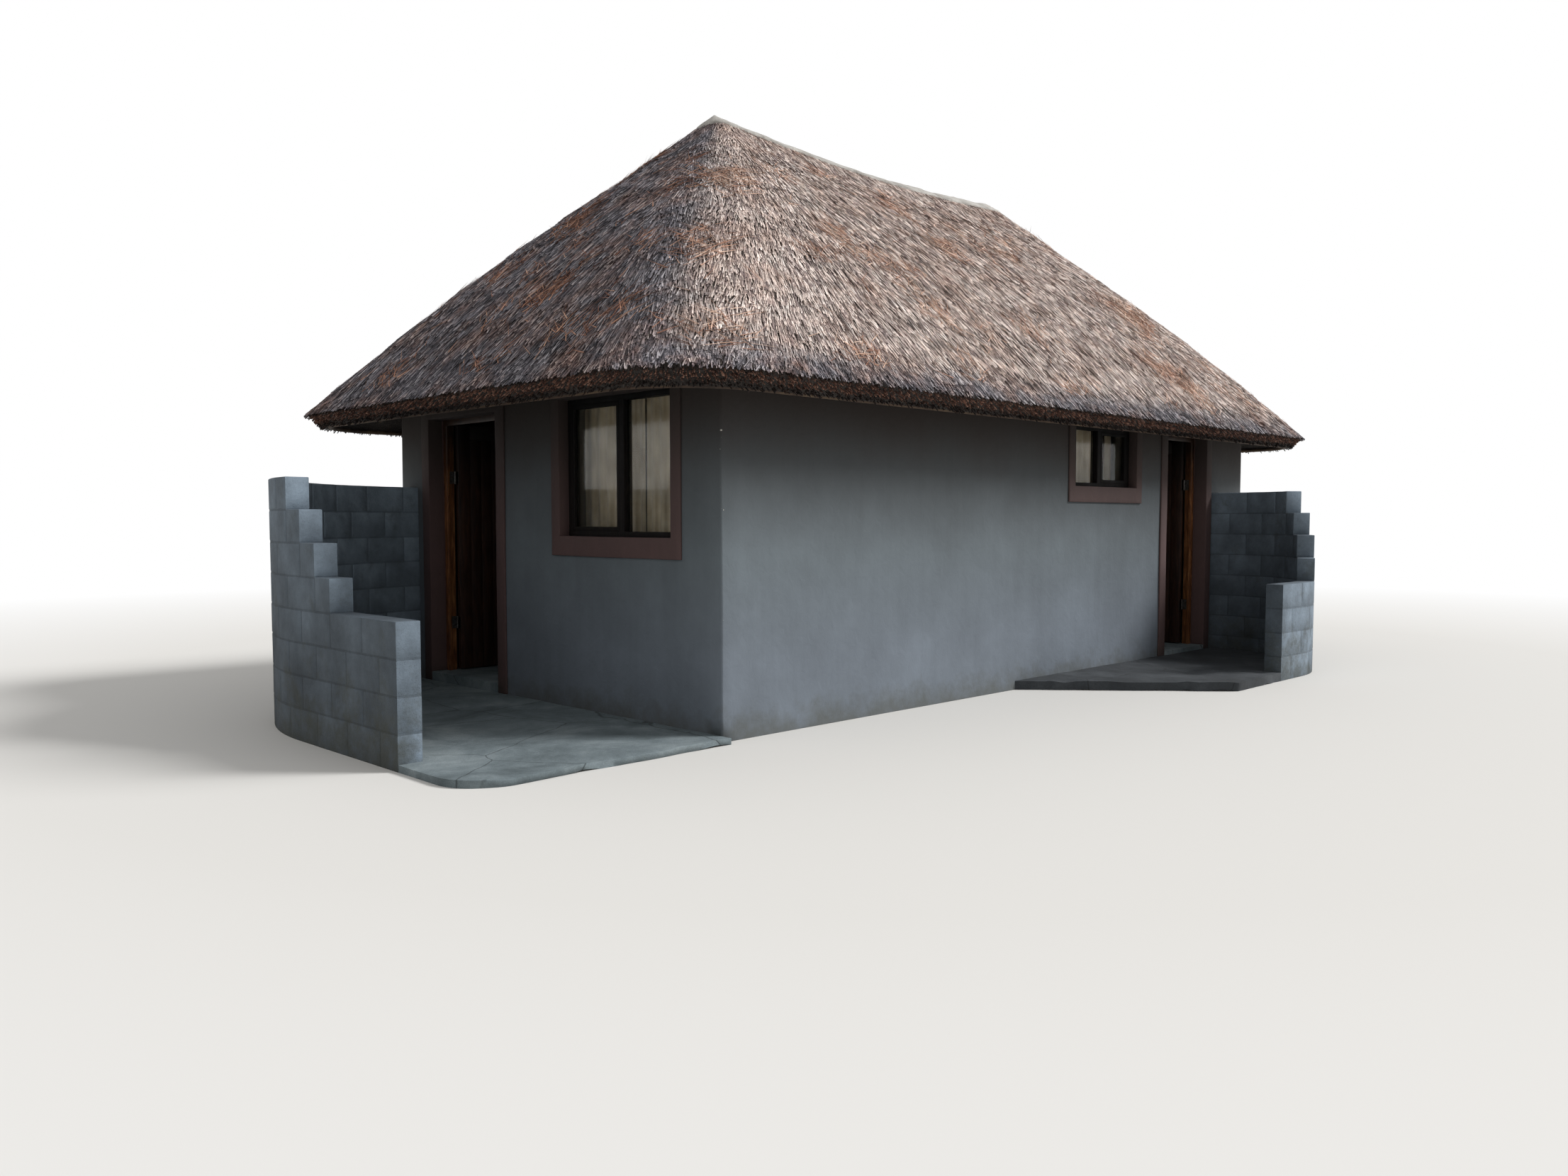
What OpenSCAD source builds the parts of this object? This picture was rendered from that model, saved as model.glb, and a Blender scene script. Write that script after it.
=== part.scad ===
// Thatched garden hut with a hipped roof, two doors and two curved block screen walls.
// Millimetres, Z up. The origin is the middle of the hut's plan, at ground level.
// The entrance end faces -X, the long front faces -Y.

/* [Walls] */
// Length of the hut over the walls
hut_l = 7160; // [6800:10:7600]
// Width of the hut over the walls
hut_w = 3980; // [3700:10:4300]
// Thickness of the plastered block walls
wall_t = 220; // [180:5:260]

/* [Floor and stoeps] */
// Top of the floor above the ground
floor_h = 110; // [90:5:150]
// Top of the entrance stoep above the ground
entrance_stoep_h = 40; // [25:5:80]
// Top of the side stoep above the ground
side_stoep_h = 70; // [40:5:85]
// How far the entrance stoep runs past the hut's near corner
entrance_stoep_past = 80; // [0:10:150]
// Radius of the entrance stoep's open corner
entrance_stoep_round = 270; // [150:10:350]
// Distance of the side stoep's start from the side doorway, along the wall
side_stoep_run = 2450; // [2300:50:2700]
// Distance of the side stoep's outer corner from the side doorway, along the wall
side_stoep_corner = 1300; // [1100:50:1500]

/* [Doorways] */
// Width of the entrance doorway between its plaster reveals
entrance_door_w = 1000; // [900:10:1100]
// Distance from the entrance doorway to the hut's back corner
entrance_door_gap = 480; // [420:10:560]
// Width of the side doorway between its plaster reveals
side_door_w = 800; // [750:10:900]
// Distance from the side doorway to the hut's far corner
side_door_gap = 810; // [760:10:900]
// Height of both doorways above the ground
door_head = 2140; // [2060:10:2160]

/* [Windows] */
// Width of the entrance window's opening
entrance_win_w = 1210; // [1000:10:1300]
// Height of the entrance window's opening
entrance_win_h = 940; // [800:10:950]
// Height of the entrance window's sill above the ground
entrance_win_sill = 1225; // [1150:5:1230]
// Distance from the entrance window to the hut's near corner
entrance_win_gap = 460; // [400:10:520]
// Width of the front and back windows' openings
side_win_w = 1020; // [800:10:1100]
// Height of the front and back windows' openings
side_win_h = 520; // [450:10:560]
// Height of the front and back windows' sills above the ground
side_win_sill = 1620; // [1500:10:1620]
// Distance from the front window to the side doorway
side_win_gap = 585; // [480:5:700]

/* [Surrounds] */
// Width of the raised plaster band round each opening
band_w = 115; // [90:5:115]
// Width of the bands beside and over the windows
win_band_w = 97; // [85:1:115]
// Height of the bands under the windows
sill_band_h = 135; // [110:5:160]
// How far the band stands out of the wall
band_t = 15; // [10:1:20]
// Thickness of the plaster reveal inside each opening
reveal_t = 12; // [8:1:16]

/* [Window joinery] */
// Depth from the wall's face to the window frame
win_set = 70; // [50:5:90]
// Depth of the window frame
win_frame_d = 70; // [60:2:80]
// Visible width of the window frame
win_frame_w = 35; // [30:1:50]
// Width of the mullion
mullion_w = 48; // [45:1:70]
// Width of a casement's rails and stiles
sash_w = 31; // [28:1:50]
// Depth of a casement
sash_d = 45; // [38:1:50]
// Thickness of the glass
glass_t = 4; // [3:1:6]
// How far the glass goes into its groove
glass_bite = 8; // [5:1:10]

/* [Door joinery] */
// Depth from the wall's face to a door frame
door_set = 120; // [100:5:130]
// Depth of a door frame
door_frame_d = 70; // [65:1:80]
// Visible width of a door frame, with its stop
door_frame_w = 45; // [40:1:55]
// How far the stop stands in from the frame
door_stop = 12; // [10:1:15]
// Thickness of a door leaf
leaf_t = 40; // [36:1:44]
// Running gap round a door leaf
leaf_gap = 5; // [5:0.5:8]
// Gap between a door leaf and the floor
leaf_lift = 10; // [6:1:15]
// Width of a door leaf's stiles and top rail
stile_w = 110; // [90:5:120]
// Height of a door leaf's middle and bottom ledges
ledge_h = 160; // [120:10:220]
// Thickness of the boards in a door leaf
board_t = 18; // [14:1:20]
// Recess of the boards behind the stiles
board_set = 3; // [2:0.5:5]
// Height of the lower hinge above the floor
hinge_low = 390; // [250:10:450]
// Height of the upper hinge above the floor
hinge_high = 1570; // [1450:10:1650]
// Length of a hinge
hinge_l = 100; // [75:5:125]
// Diameter of a hinge's knuckle
knuckle_d = 12; // [10:0.5:13]
// Thickness of a hinge plate
hinge_t = 3; // [2:0.5:4]
// Height of a lever handle above the floor
lever_h = 1000; // [900:10:1100]
// Length of a lever
lever_l = 115; // [95:5:130]
// Diameter of a lever
lever_d = 18; // [15:1:20]
// Distance from a door leaf's face to the middle of its lever
lever_out = 42; // [35:1:45]

/* [Curtains] */
// Diameter of a curtain rail
rail_d = 20; // [16:1:25]
// Distance from the wall's inner face to the middle of a rail
rail_out = 60; // [50:5:80]
// Distance from a window's head to the middle of its rail
rail_up = 70; // [50:5:90]
// Depth of a curtain's folds to each side
fold_depth = 22; // [12:1:28]
// Width of one curtain fold
fold_w = 95; // [70:5:120]
// Thickness of the curtain solids
curtain_t = 10; // [6:1:12]
// How far the curtains hang below a window's sill
curtain_drop = 110; // [50:10:200]
// How far the curtains reach past a window's sides
curtain_lap = 180; // [40:10:190]

/* [Thatch] */
// Height of the thatch's upper lip at the eaves
eave_z = 2180; // [2160:5:2240]
// Overhang of the thatch past the long walls
side_overhang = 500; // [480:10:600]
// Overhang of the thatch past the end walls
end_overhang = 780; // [740:10:860]
// Thickness of the thatch coat, square to the slope
thatch_t = 150; // [140:5:200]
// Height of the thatch at the ends of the ridge
thatch_top = 4530; // [4400:10:4650]
// Half of the ridge's length
ridge_half = 1800; // [1600:10:1900]
// How far the slopes crown above a straight line
crown = 140; // [0:5:160]
// Where the crown is fullest: 1 is halfway down the slopes, more is lower
crown_low = 1.2; // [1:0.1:1.6]
// How far the packed grass stands up beside the ridge cap
shoulder = 85; // [0:5:100]
// Radius of the eaves' corners in plan
corner_round = 680; // [450:10:750]
// How fast the hips' rounding fills out from the ridge down
hip_fill = 2.5; // [1.5:0.5:3]
// How fast the rounding of the hips' underside grows
hip_power = 0.6; // [0.5:0.05:1]
// Sag of the ridge at its middle
ridge_sag = 75; // [0:5:90]
// How far the ridge cap reaches down the slopes, in plan
cap_reach = 165; // [150:5:240]
// Thickness of the ridge cap at its lower edge
cap_edge = 30; // [20:1:45]
// Height of the ridge cap's peak above the thatch
cap_peak = 55; // [50:1:95]
// How far the ridge cap's peak runs past the ends of the ridge
cap_over = 60; // [0:5:90]

/* [Roof timbers] */
// Diameter of the rafter poles
rafter_d = 90; // [80:1:100]
// Distance between the common rafters
rafter_pitch = 640; // [560:10:640]
// Distance between the rafters on the hipped ends
end_pitch_w = 640; // [560:10:660]
// How far the rafter tails stop short of the thatch's lower lip
tail_short = 190; // [150:10:260]
// How far the hip rafters' tails stop short of it
hip_tail_short = 310; // [280:10:400]
// Diameter of the laths
lath_d = 32; // [25:1:38]
// Gap between the laths and the thatch
lath_bed = 3; // [2:0.5:6]
// Distance between the laths, down the slope
lath_pitch = 300; // [250:10:400]
// Diameter of the ridge pole
ridge_pole_d = 110; // [100:1:130]
// Width of the wall plates
plate_w = 76; // [70:1:114]
// Height of the wall plates
plate_h = 76; // [60:1:90]
// Depth of the rafters' seats on the plates
seat_cut = 20; // [10:1:25]
// Gap between the rafters and the bevelled top of a wall
bevel_gap = 6; // [3:1:12]
// Diameter of the collar ties
tie_d = 75; // [65:1:85]
// Height of the collar ties above the ground
tie_z = 3300; // [3200:10:3450]

/* [Screen walls] */
// Height of one block course
course_h = 200; // [190:1:210]
// Thickness of the screen walls
screen_t = 140; // [120:5:160]
// Courses in the low part of a screen wall
low_courses = 4; // [3:1:5]
// Courses in the high part of a screen wall
high_courses = 8; // [7:1:9]
// Length of the low part of a screen wall
low_run = 800; // [700:50:900]
// Length of each step in a screen wall's top
step_run = 200; // [180:10:220]
// Distance from the entrance wall to its screen wall's outer face
entrance_screen_out = 1767; // [1600:10:1900]
// Distance from the hut's near corner to the entrance screen wall's free end, along the wall
entrance_screen_start = 600; // [500:10:700]
// Radius of the entrance screen wall's outer face
entrance_screen_r = 2000; // [1900:10:2050]
// Distance from the entrance screen wall's root to the hut's back corner
entrance_screen_root = 125; // [60:5:160]
// Distance from the long front wall to the side screen wall's outer face
side_screen_out = 1290; // [1200:10:1400]
// Distance from the side doorway's near reveal to the side screen wall's free end
side_screen_start = 480; // [400:10:560]
// Radius of the side screen wall's outer face
side_screen_r = 1100; // [1000:10:1150]
// Distance from the side doorway's far reveal to the side screen wall's inner face
side_screen_gap = 150; // [140:5:200]

/* [Hidden] */
$fn = 48;

plaster_grey = "#6B7276";
band_brown = "#5A4138";
joinery_dark = "#2E2724";
varnish = "#8A5230";
pole_brown = "#7A5A3C";
concrete = "#8E8F86";
straw = "#7D7062";
cap_white = "#DAD8D2";
cloth_cream = "#D9D2C2";
steel_dark = "#5B5B5C";

// Edges of the hut in plan
x0 = -hut_l / 2;
x1 = hut_l / 2;
y0 = -hut_w / 2;
y1 = hut_w / 2;

// Places of the openings
side_door_x1 = x1 - side_door_gap;
side_door_x0 = side_door_x1 - side_door_w;
side_win_x1 = side_door_x0 - side_win_gap;
side_win_x0 = side_win_x1 - side_win_w;
entrance_door_y1 = y1 - entrance_door_gap;
entrance_door_y0 = entrance_door_y1 - entrance_door_w;
entrance_win_y0 = y0 + entrance_win_gap;
entrance_win_y1 = entrance_win_y0 + entrance_win_w;

// Slopes of the roof
rise = thatch_top - eave_z;
eave_l = hut_l / 2 + end_overhang;
eave_w = hut_w / 2 + side_overhang;
coat_pitch = atan(rise / eave_w);
coat_in = thatch_t * sin(coat_pitch);
coat_drop = thatch_t * cos(coat_pitch);
under_top = thatch_top - thatch_t / cos(coat_pitch);
under_eave_z = eave_z - coat_drop;
under_eave_l = eave_l - coat_in;
under_eave_w = eave_w - coat_in;
under_round = corner_round - coat_in;
side_fall = (under_top - under_eave_z) / under_eave_w;
end_fall = (under_top - under_eave_z) / (under_eave_l - ridge_half);
side_pitch = atan(side_fall);
end_pitch = atan(end_fall);
cap_level = cap_reach / eave_w;

// Seats of the timbers below the thatch
axis_set = lath_bed + lath_d + rafter_d / 2;
pole_set = axis_set + rafter_d / 2;
wall_mid_w = hut_w / 2 - wall_t / 2;
wall_mid_l = hut_l / 2 - wall_t / 2;
side_plate_top = under_top - wall_mid_w * side_fall - pole_set / cos(side_pitch) + seat_cut;
end_plate_top = under_top - (wall_mid_l - ridge_half) * end_fall - pole_set / cos(end_pitch) + seat_cut;
side_wall_h = side_plate_top - plate_h;
end_wall_h = end_plate_top - plate_h;
ridge_pole_z = under_top - ridge_pole_d / 2 * side_fall - axis_set / cos(side_pitch);
tall = thatch_top + 500;

// Undersides of the rafters: where a plane through them would reach the middle of the hut
side_under_z = under_top - pole_set / cos(side_pitch) - bevel_gap;
end_under_z = under_top - pole_set / cos(end_pitch) - bevel_gap;

// Levels and points of the thatch's grid
coat_rows = 9;
corner_half_n = 4;
side_span_n = 8;
end_span_n = 4;
levels = concat([0], [for (i = [0:coat_rows]) mix(cap_level, 1, i / coat_rows)]);
corner_share = 1 - 1 / sqrt(2);

function mix(a, b, t) = a + (b - a) * t;

// Half length, half width and corner radius of the thatch's plan at level t, 0 at the ridge and 1 at the eaves
function coat_l(t) = mix(ridge_half, eave_l, t);
function coat_w(t) = mix(0, eave_w, t);
function coat_r(t) = corner_round * (1 - pow(1 - t, hip_fill));
function under_l(t) = mix(ridge_half, under_eave_l, t);
function under_w(t) = mix(0, under_eave_w, t);
function under_r(t) = under_round * pow(t, hip_power);
function under_z(t) = mix(under_top, under_eave_z, t);

// Height of the thatch at level t: a straight fall, a crown, a shoulder beside the ridge cap,
// and the ridge's sag, which dies out down the slope
function sag_at(t, x) = ridge_sag * (1 - t) * (1 - t) * max(0, 1 - pow(x / ridge_half, 2));
function shoulder_at(t) = shoulder * pow(1 - t, 3) * min(1, t / cap_level);
function crown_at(t) = crown * sin(180 * pow(t, crown_low));
function coat_z(t, x) = mix(thatch_top, eave_z, t) + crown_at(t) + shoulder_at(t) - sag_at(t, x);

// Half of one level of a long slope, from hip to hip, and of an end slope
function side_plan(l, w, r) = concat(
    [for (i = [0:corner_half_n]) let (a = 225 + 45 * i / corner_half_n)
        [-(l - r) + r * cos(a), -(w - r) + r * sin(a)]],
    [for (i = [1:side_span_n - 1]) [mix(-(l - r), l - r, i / side_span_n), -w]],
    [for (i = [0:corner_half_n]) let (a = 270 + 45 * i / corner_half_n)
        [(l - r) + r * cos(a), -(w - r) + r * sin(a)]]
);
function end_plan(l, w, r) = concat(
    [for (i = [0:corner_half_n]) let (a = 315 + 45 * i / corner_half_n)
        [(l - r) + r * cos(a), -(w - r) + r * sin(a)]],
    [for (i = [1:end_span_n - 1]) [l, mix(-(w - r), w - r, i / end_span_n)]],
    [for (i = [0:corner_half_n]) let (a = 45 * i / corner_half_n)
        [(l - r) + r * cos(a), (w - r) + r * sin(a)]]
);

function outer_row(plan, t) = [for (p = plan) [p[0], p[1], coat_z(t, p[0])]];
function under_row(plan, t) = [for (p = plan) [p[0], p[1], under_z(t)]];
function side_outer() = [for (t = levels) outer_row(side_plan(coat_l(t), coat_w(t), coat_r(t)), t)];
function side_under() = [for (t = levels) under_row(side_plan(under_l(t), under_w(t), under_r(t)), t)];
function end_outer() = [for (t = levels) outer_row(end_plan(coat_l(t), coat_w(t), coat_r(t)), t)];
function end_under() = [for (t = levels) under_row(end_plan(under_l(t), under_w(t), under_r(t)), t)];

// Triangles whose corners are three different points
function whole(tris) = [for (f = tris) if (f[0] != f[1] && f[1] != f[2] && f[0] != f[2]) f];

// A coat between an outer and an under grid. In the top row the columns outside first to last share a point.
module coat(outer, under, first, last) {
    rows = len(outer);
    cols = len(outer[0]);
    function top(i, j) = i * cols + (i == 0 ? min(max(j, first), last) : j);
    function low(i, j) = rows * cols + top(i, j);
    e = rows - 1;
    c = cols - 1;
    points = concat([for (row = outer) each row], [for (row = under) each row]);
    skins = [for (i = [0:e - 1]) for (j = [0:c - 1]) each [
        [top(i, j), top(i, j + 1), top(i + 1, j + 1)],
        [top(i, j), top(i + 1, j + 1), top(i + 1, j)],
        [low(i, j), low(i + 1, j + 1), low(i, j + 1)],
        [low(i, j), low(i + 1, j), low(i + 1, j + 1)]
    ]];
    lips = [for (j = [0:c - 1]) each [
        [top(e, j), top(e, j + 1), low(e, j + 1)],
        [top(e, j), low(e, j + 1), low(e, j)],
        [top(0, j + 1), top(0, j), low(0, j)],
        [top(0, j + 1), low(0, j), low(0, j + 1)]
    ]];
    seams = [for (i = [0:e - 1]) each [
        [top(i, 0), top(i + 1, 0), low(i + 1, 0)],
        [top(i, 0), low(i + 1, 0), low(i, 0)],
        [top(i + 1, c), top(i, c), low(i + 1, c)],
        [top(i, c), low(i, c), low(i + 1, c)]
    ]];
    polyhedron(points, whole(concat(skins, lips, seams)), convexity = 6);
}

module side_coat() {
    coat(side_outer(), side_under(), corner_half_n, corner_half_n + side_span_n);
}

module end_coat() {
    coat(end_outer(), end_under(), 0, 0);
}

module front_thatch() color(straw) side_coat();
module back_thatch() color(straw) rotate([0, 0, 180]) side_coat();
module far_thatch() color(straw) end_coat();
module entrance_thatch() color(straw) rotate([0, 0, 180]) end_coat();

// The cap follows the thatch from the ridge to its first level, so it beds on it all round
module ridge_cap() {
    side = side_plan(coat_l(cap_level), coat_w(cap_level), coat_r(cap_level));
    end = end_plan(coat_l(cap_level), coat_w(cap_level), coat_r(cap_level));
    ring = concat(
        [for (i = [0:len(side) - 2]) side[i]],
        [for (i = [0:len(end) - 2]) end[i]],
        [for (i = [0:len(side) - 2]) -side[i]],
        [for (i = [0:len(end) - 2]) -end[i]]
    );
    half = len(side) + len(end) - 2;
    n = 2 * half;
    m = side_span_n;
    function run(j) = min(max(j - corner_half_n, 0), m);
    function on_ridge(j) = let (k = j % n) k < half ? run(k) : m - run(k - half);
    line = [for (i = [0:m]) mix(-ridge_half, ridge_half, i / m)];
    peak_half = ridge_half + cap_over;
    points = concat(
        [for (x = line) [x * peak_half / ridge_half, 0, coat_z(0, x) + cap_peak]],
        [for (x = line) [x, 0, coat_z(0, x)]],
        [for (p = ring) [p[0], p[1], coat_z(cap_level, p[0]) + cap_edge]],
        [for (p = ring) [p[0], p[1], coat_z(cap_level, p[0])]]
    );
    function low_line(k) = m + 1 + k;
    function top_edge(j) = 2 * (m + 1) + j % n;
    function low_edge(j) = 2 * (m + 1) + n + j % n;
    faces = [for (j = [0:n - 1]) let (a = on_ridge(j), b = on_ridge(j + 1)) each [
        [a, b, top_edge(j + 1)],
        [a, top_edge(j + 1), top_edge(j)],
        [low_line(a), low_edge(j + 1), low_line(b)],
        [low_line(a), low_edge(j), low_edge(j + 1)],
        [top_edge(j), top_edge(j + 1), low_edge(j + 1)],
        [top_edge(j), low_edge(j + 1), low_edge(j)]
    ]];
    color(cap_white) polyhedron(points, whole(faces), convexity = 4);
}

// Rafters, laths and plates

hip_k = corner_share * under_round + axis_set * sin(side_pitch);
hip_end_x = under_eave_l - hip_k;
hip_end_y = under_eave_w - hip_k;
hip_run = sqrt(pow(hip_end_x - ridge_half, 2) + pow(hip_end_y, 2));
hip_fall = (under_top - under_eave_z) / hip_run;
hip_pitch = atan(hip_fall);
hip_turn = atan2(hip_end_y, hip_end_x - ridge_half);
// The hips' surface dips below a straight line between its ends, by this much at most
hip_dip = 0.2 * corner_share * under_round;
hip_axis_drop = axis_set / cos(hip_pitch) + hip_dip;
// How far the jack rafters' bevels lie below the hip rafters' top line
hip_bevel_gap = 4 * bevel_gap;

// Plan regions between the hip rafters, cut back by half a pole
hip_back_x = rafter_d / 2 / sin(hip_turn);
module side_bay() {
    far_y = eave_w + 100;
    far_x = ridge_half + far_y / tan(hip_turn);
    near_y = ridge_pole_d / 2;
    near_x = ridge_half + near_y / tan(hip_turn) - hip_back_x;
    linear_extrude(tall)
        polygon([[-near_x, -near_y], [-far_x + hip_back_x, -far_y], [far_x - hip_back_x, -far_y], [near_x, -near_y]]);
}
module end_bay() {
    far_x = eave_l + 100;
    far_y = (far_x - ridge_half) * tan(hip_turn);
    cut_y = hip_back_x * tan(hip_turn);
    half = rafter_d / 2;
    start_x = ridge_half + (half + cut_y) / tan(hip_turn);
    linear_extrude(tall)
        polygon([
            [ridge_half, -half], [start_x, -half], [far_x, -far_y + cut_y],
            [far_x, far_y - cut_y], [start_x, half], [ridge_half, half]
        ]);
}

// The space above a hip rafter's top line, where the thatch rounds over and the jack rafters end in a bevel
module hip_bevel() {
    wide = 4 * rafter_pitch;
    for (m = [0, 1])
        mirror([0, m, 0])
            translate([ridge_half, 0, under_top - hip_axis_drop + rafter_d / 2 / cos(hip_pitch) - hip_bevel_gap])
                rotate([0, 0, -hip_turn])
                    rotate([0, hip_pitch, 0])
                        translate([0, -wide / 2, 0])
                            cube([hip_pole_l, wide, wide]);
}

side_pole_l = (under_eave_w - tail_short) / cos(side_pitch);
end_pole_l = (under_eave_l - ridge_half - tail_short) / cos(end_pitch);
hip_pole_l = (hip_run - hip_tail_short) / cos(hip_pitch);

// A pole down the long slope at x, and one down the end slope at y
module side_pole(x) {
    translate([x, 0, under_top - axis_set / cos(side_pitch)])
        rotate([90 + side_pitch, 0, 0])
            cylinder(h = side_pole_l, d = rafter_d);
}
module end_pole(y) {
    translate([ridge_half, y, under_top - axis_set / cos(end_pitch)])
        rotate([0, 90 + end_pitch, 0])
            cylinder(h = end_pole_l, d = rafter_d);
}

// Places of the rafters: pairs out from the middle
common_n = floor((ridge_half - rafter_d - rafter_pitch / 2) / rafter_pitch);
all_side_n = floor((wall_mid_l - wall_t - rafter_pitch / 2) / rafter_pitch);
side_xs = [for (i = [-all_side_n - 1:all_side_n]) (i + 0.5) * rafter_pitch];
common_xs = [for (i = [-common_n - 1:common_n]) (i + 0.5) * rafter_pitch];
end_n = floor((wall_mid_w - wall_t) / end_pitch_w);
end_ys = [for (i = [-end_n:end_n]) i * end_pitch_w];
end_flat = end_n * end_pitch_w + rafter_d;
// How far an end wall's sides end below the long walls' tops
hip_drop = 60;

module side_rafters() {
    difference() {
        intersection() {
            union() {
                for (x = side_xs) side_pole(x);
            }
            side_bay();
        }
        side_plate();
        hip_bevel();
        mirror([1, 0, 0]) hip_bevel();
    }
}
module end_rafters() {
    difference() {
        intersection() {
            union() {
                for (y = end_ys) end_pole(y);
            }
            end_bay();
        }
        end_plate();
        hip_bevel();
    }
}

module front_rafters() color(pole_brown) side_rafters();
module back_rafters() color(pole_brown) rotate([0, 0, 180]) side_rafters();
module far_rafters() color(pole_brown) end_rafters();
module entrance_rafters() color(pole_brown) rotate([0, 0, 180]) end_rafters();

module hip_pole() {
    difference() {
        translate([ridge_half, 0, under_top - hip_axis_drop])
            rotate([0, 0, -hip_turn])
                rotate([0, 90 + hip_pitch, 0])
                    cylinder(h = hip_pole_l, d = rafter_d);
        translate([0, -ridge_pole_d / 2, 0])
            cube([eave_l, ridge_pole_d, tall]);
    }
}
module hip_rafters() {
    color(pole_brown) {
        for (s = [0, 1]) mirror([s, 0, 0]) for (m = [0, 1]) mirror([0, m, 0]) hip_pole();
    }
}

module ridge_pole() {
    color(pole_brown)
        translate([-ridge_half, 0, ridge_pole_z])
            rotate([0, 90, 0])
                cylinder(h = 2 * ridge_half, d = ridge_pole_d);
}

module collar_ties() {
    tie_half = (under_top - axis_set / cos(side_pitch) - tie_z) / side_fall;
    color(pole_brown)
        for (x = common_xs)
            translate([x + sign(x) * (rafter_d + tie_d) / -2, -tie_half, tie_z])
                rotate([-90, 0, 0])
                    cylinder(h = 2 * tie_half, d = tie_d);
}

// Lath rings: four straight laths with a gap at each end, and four bent round the hips
lath_end_gap = 1;
lath_set = lath_bed + lath_d / 2;
lath_side_in = lath_set * sin(side_pitch);
lath_end_in = lath_set * sin(end_pitch);
lath_drop = lath_set * cos(side_pitch);
lath_run = under_eave_w / cos(side_pitch);
lath_n = floor(lath_run / lath_pitch) - 1;
module lath_ring(t) {
    l = under_l(t) - lath_end_in;
    w = under_w(t) - lath_side_in;
    r = under_r(t) - lath_side_in;
    translate([0, 0, under_z(t) - lath_drop]) {
        for (s = [-1, 1]) {
            translate([-(l - r) + lath_end_gap, s * w, 0])
                rotate([0, 90, 0])
                    cylinder(h = 2 * (l - r - lath_end_gap), d = lath_d);
            translate([s * l, -(w - r) + lath_end_gap, 0])
                rotate([-90, 0, 0])
                    cylinder(h = 2 * (w - r - lath_end_gap), d = lath_d);
        }
        for (k = [0:3])
            translate([(k == 0 || k == 3 ? 1 : -1) * (l - r), (k < 2 ? 1 : -1) * (w - r), 0])
                rotate([0, 0, 90 * k])
                    rotate_extrude(angle = 90)
                        translate([r, 0])
                            circle(d = lath_d);
    }
}
module roof_laths() {
    color(pole_brown)
        for (i = [0:lath_n])
            lath_ring(1 - (lath_d + i * lath_pitch) / lath_run);
}

// Plates lie on the middle of the walls
module side_plate() {
    translate([x0 + wall_t / 2 + plate_w / 2, -wall_mid_w - plate_w / 2, side_wall_h])
        cube([hut_l - wall_t - plate_w, plate_w, plate_h]);
}
module end_plate() {
    translate([wall_mid_l - plate_w / 2, -end_flat, end_wall_h])
        cube([plate_w, 2 * end_flat, plate_h]);
}
module wall_plates() {
    color(pole_brown)
        for (s = [0, 180])
            rotate([0, 0, s]) {
                side_plate();
                end_plate();
            }
}

// Walls

module box_hole(w, h) {
    translate([-reveal_t, -1, -reveal_t])
        cube([w + 2 * reveal_t, wall_t + 2, h + 2 * reveal_t]);
}
module door_hole(w) {
    translate([-reveal_t, -1, -1])
        cube([w + 2 * reveal_t, wall_t + 2, door_head + reveal_t + 1]);
}

// Placements: u runs along the wall, seen from outside, v goes into the wall
module at_front(x, z) translate([x, y0, z]) children();
module at_back(x, z) translate([x, y1, z]) rotate([0, 0, 180]) children();
module at_entrance(y, z) translate([x0, y, z]) rotate([0, 0, -90]) children();
module at_side_hinge(z) translate([side_door_x1, y0, z]) mirror([1, 0, 0]) children();

// A long wall from xa to xb, from z up to a flat top that bevels down outside to clear the rafters
module long_wall(xa, xb, z) {
    bevel_y = (side_under_z - side_wall_h) / side_fall;
    translate([xa, 0, 0])
        rotate([90, 0, 90])
            linear_extrude(xb - xa)
                polygon([
                    [y0, z], [y0, side_under_z + y0 * side_fall], [-bevel_y, side_wall_h],
                    [y0 + wall_t, side_wall_h], [y0 + wall_t, z]
                ]);
}
module front_wall() {
    color(plaster_grey)
        difference() {
            long_wall(x0, side_door_x0 - reveal_t, 0);
            at_front(side_win_x0, side_win_sill) box_hole(side_win_w, side_win_h);
        }
}
module front_wall_end() {
    color(plaster_grey) long_wall(side_door_x1 + reveal_t, x1, 0);
}
module front_wall_lintel() {
    color(plaster_grey) long_wall(side_door_x0 - reveal_t, side_door_x1 + reveal_t, door_head + reveal_t);
}
module back_wall() {
    color(plaster_grey)
        difference() {
            mirror([0, 1, 0]) long_wall(x0, x1, 0);
            at_back(side_win_x1, side_win_sill) box_hole(side_win_w, side_win_h);
        }
}

// An end wall rises between the long walls to its own plate. It drops at both sides, below the hip
// rafters, and bevels down outside. This one is the far wall, from ya to yb and from z up.
inner_w = hut_w - 2 * wall_t;
module end_slab(ya, yb, z) {
    bevel_x = ridge_half + (end_under_z - end_wall_h) / end_fall;
    intersection() {
        translate([x1 - wall_t, 0, 0])
            rotate([90, 0, 90])
                linear_extrude(wall_t)
                    polygon([
                        [-inner_w / 2, 0], [inner_w / 2, 0], [inner_w / 2, side_wall_h - hip_drop],
                        [end_flat, end_wall_h], [-end_flat, end_wall_h], [-inner_w / 2, side_wall_h - hip_drop]
                    ]);
        translate([0, yb, 0])
            rotate([90, 0, 0])
                linear_extrude(yb - ya)
                    polygon([
                        [x1 - wall_t, z], [x1, z], [x1, end_under_z - (x1 - ridge_half) * end_fall],
                        [bevel_x, end_wall_h], [x1 - wall_t, end_wall_h]
                    ]);
    }
}
module entrance_slab(ya, yb, z) {
    mirror([1, 0, 0]) end_slab(ya, yb, z);
}
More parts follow.
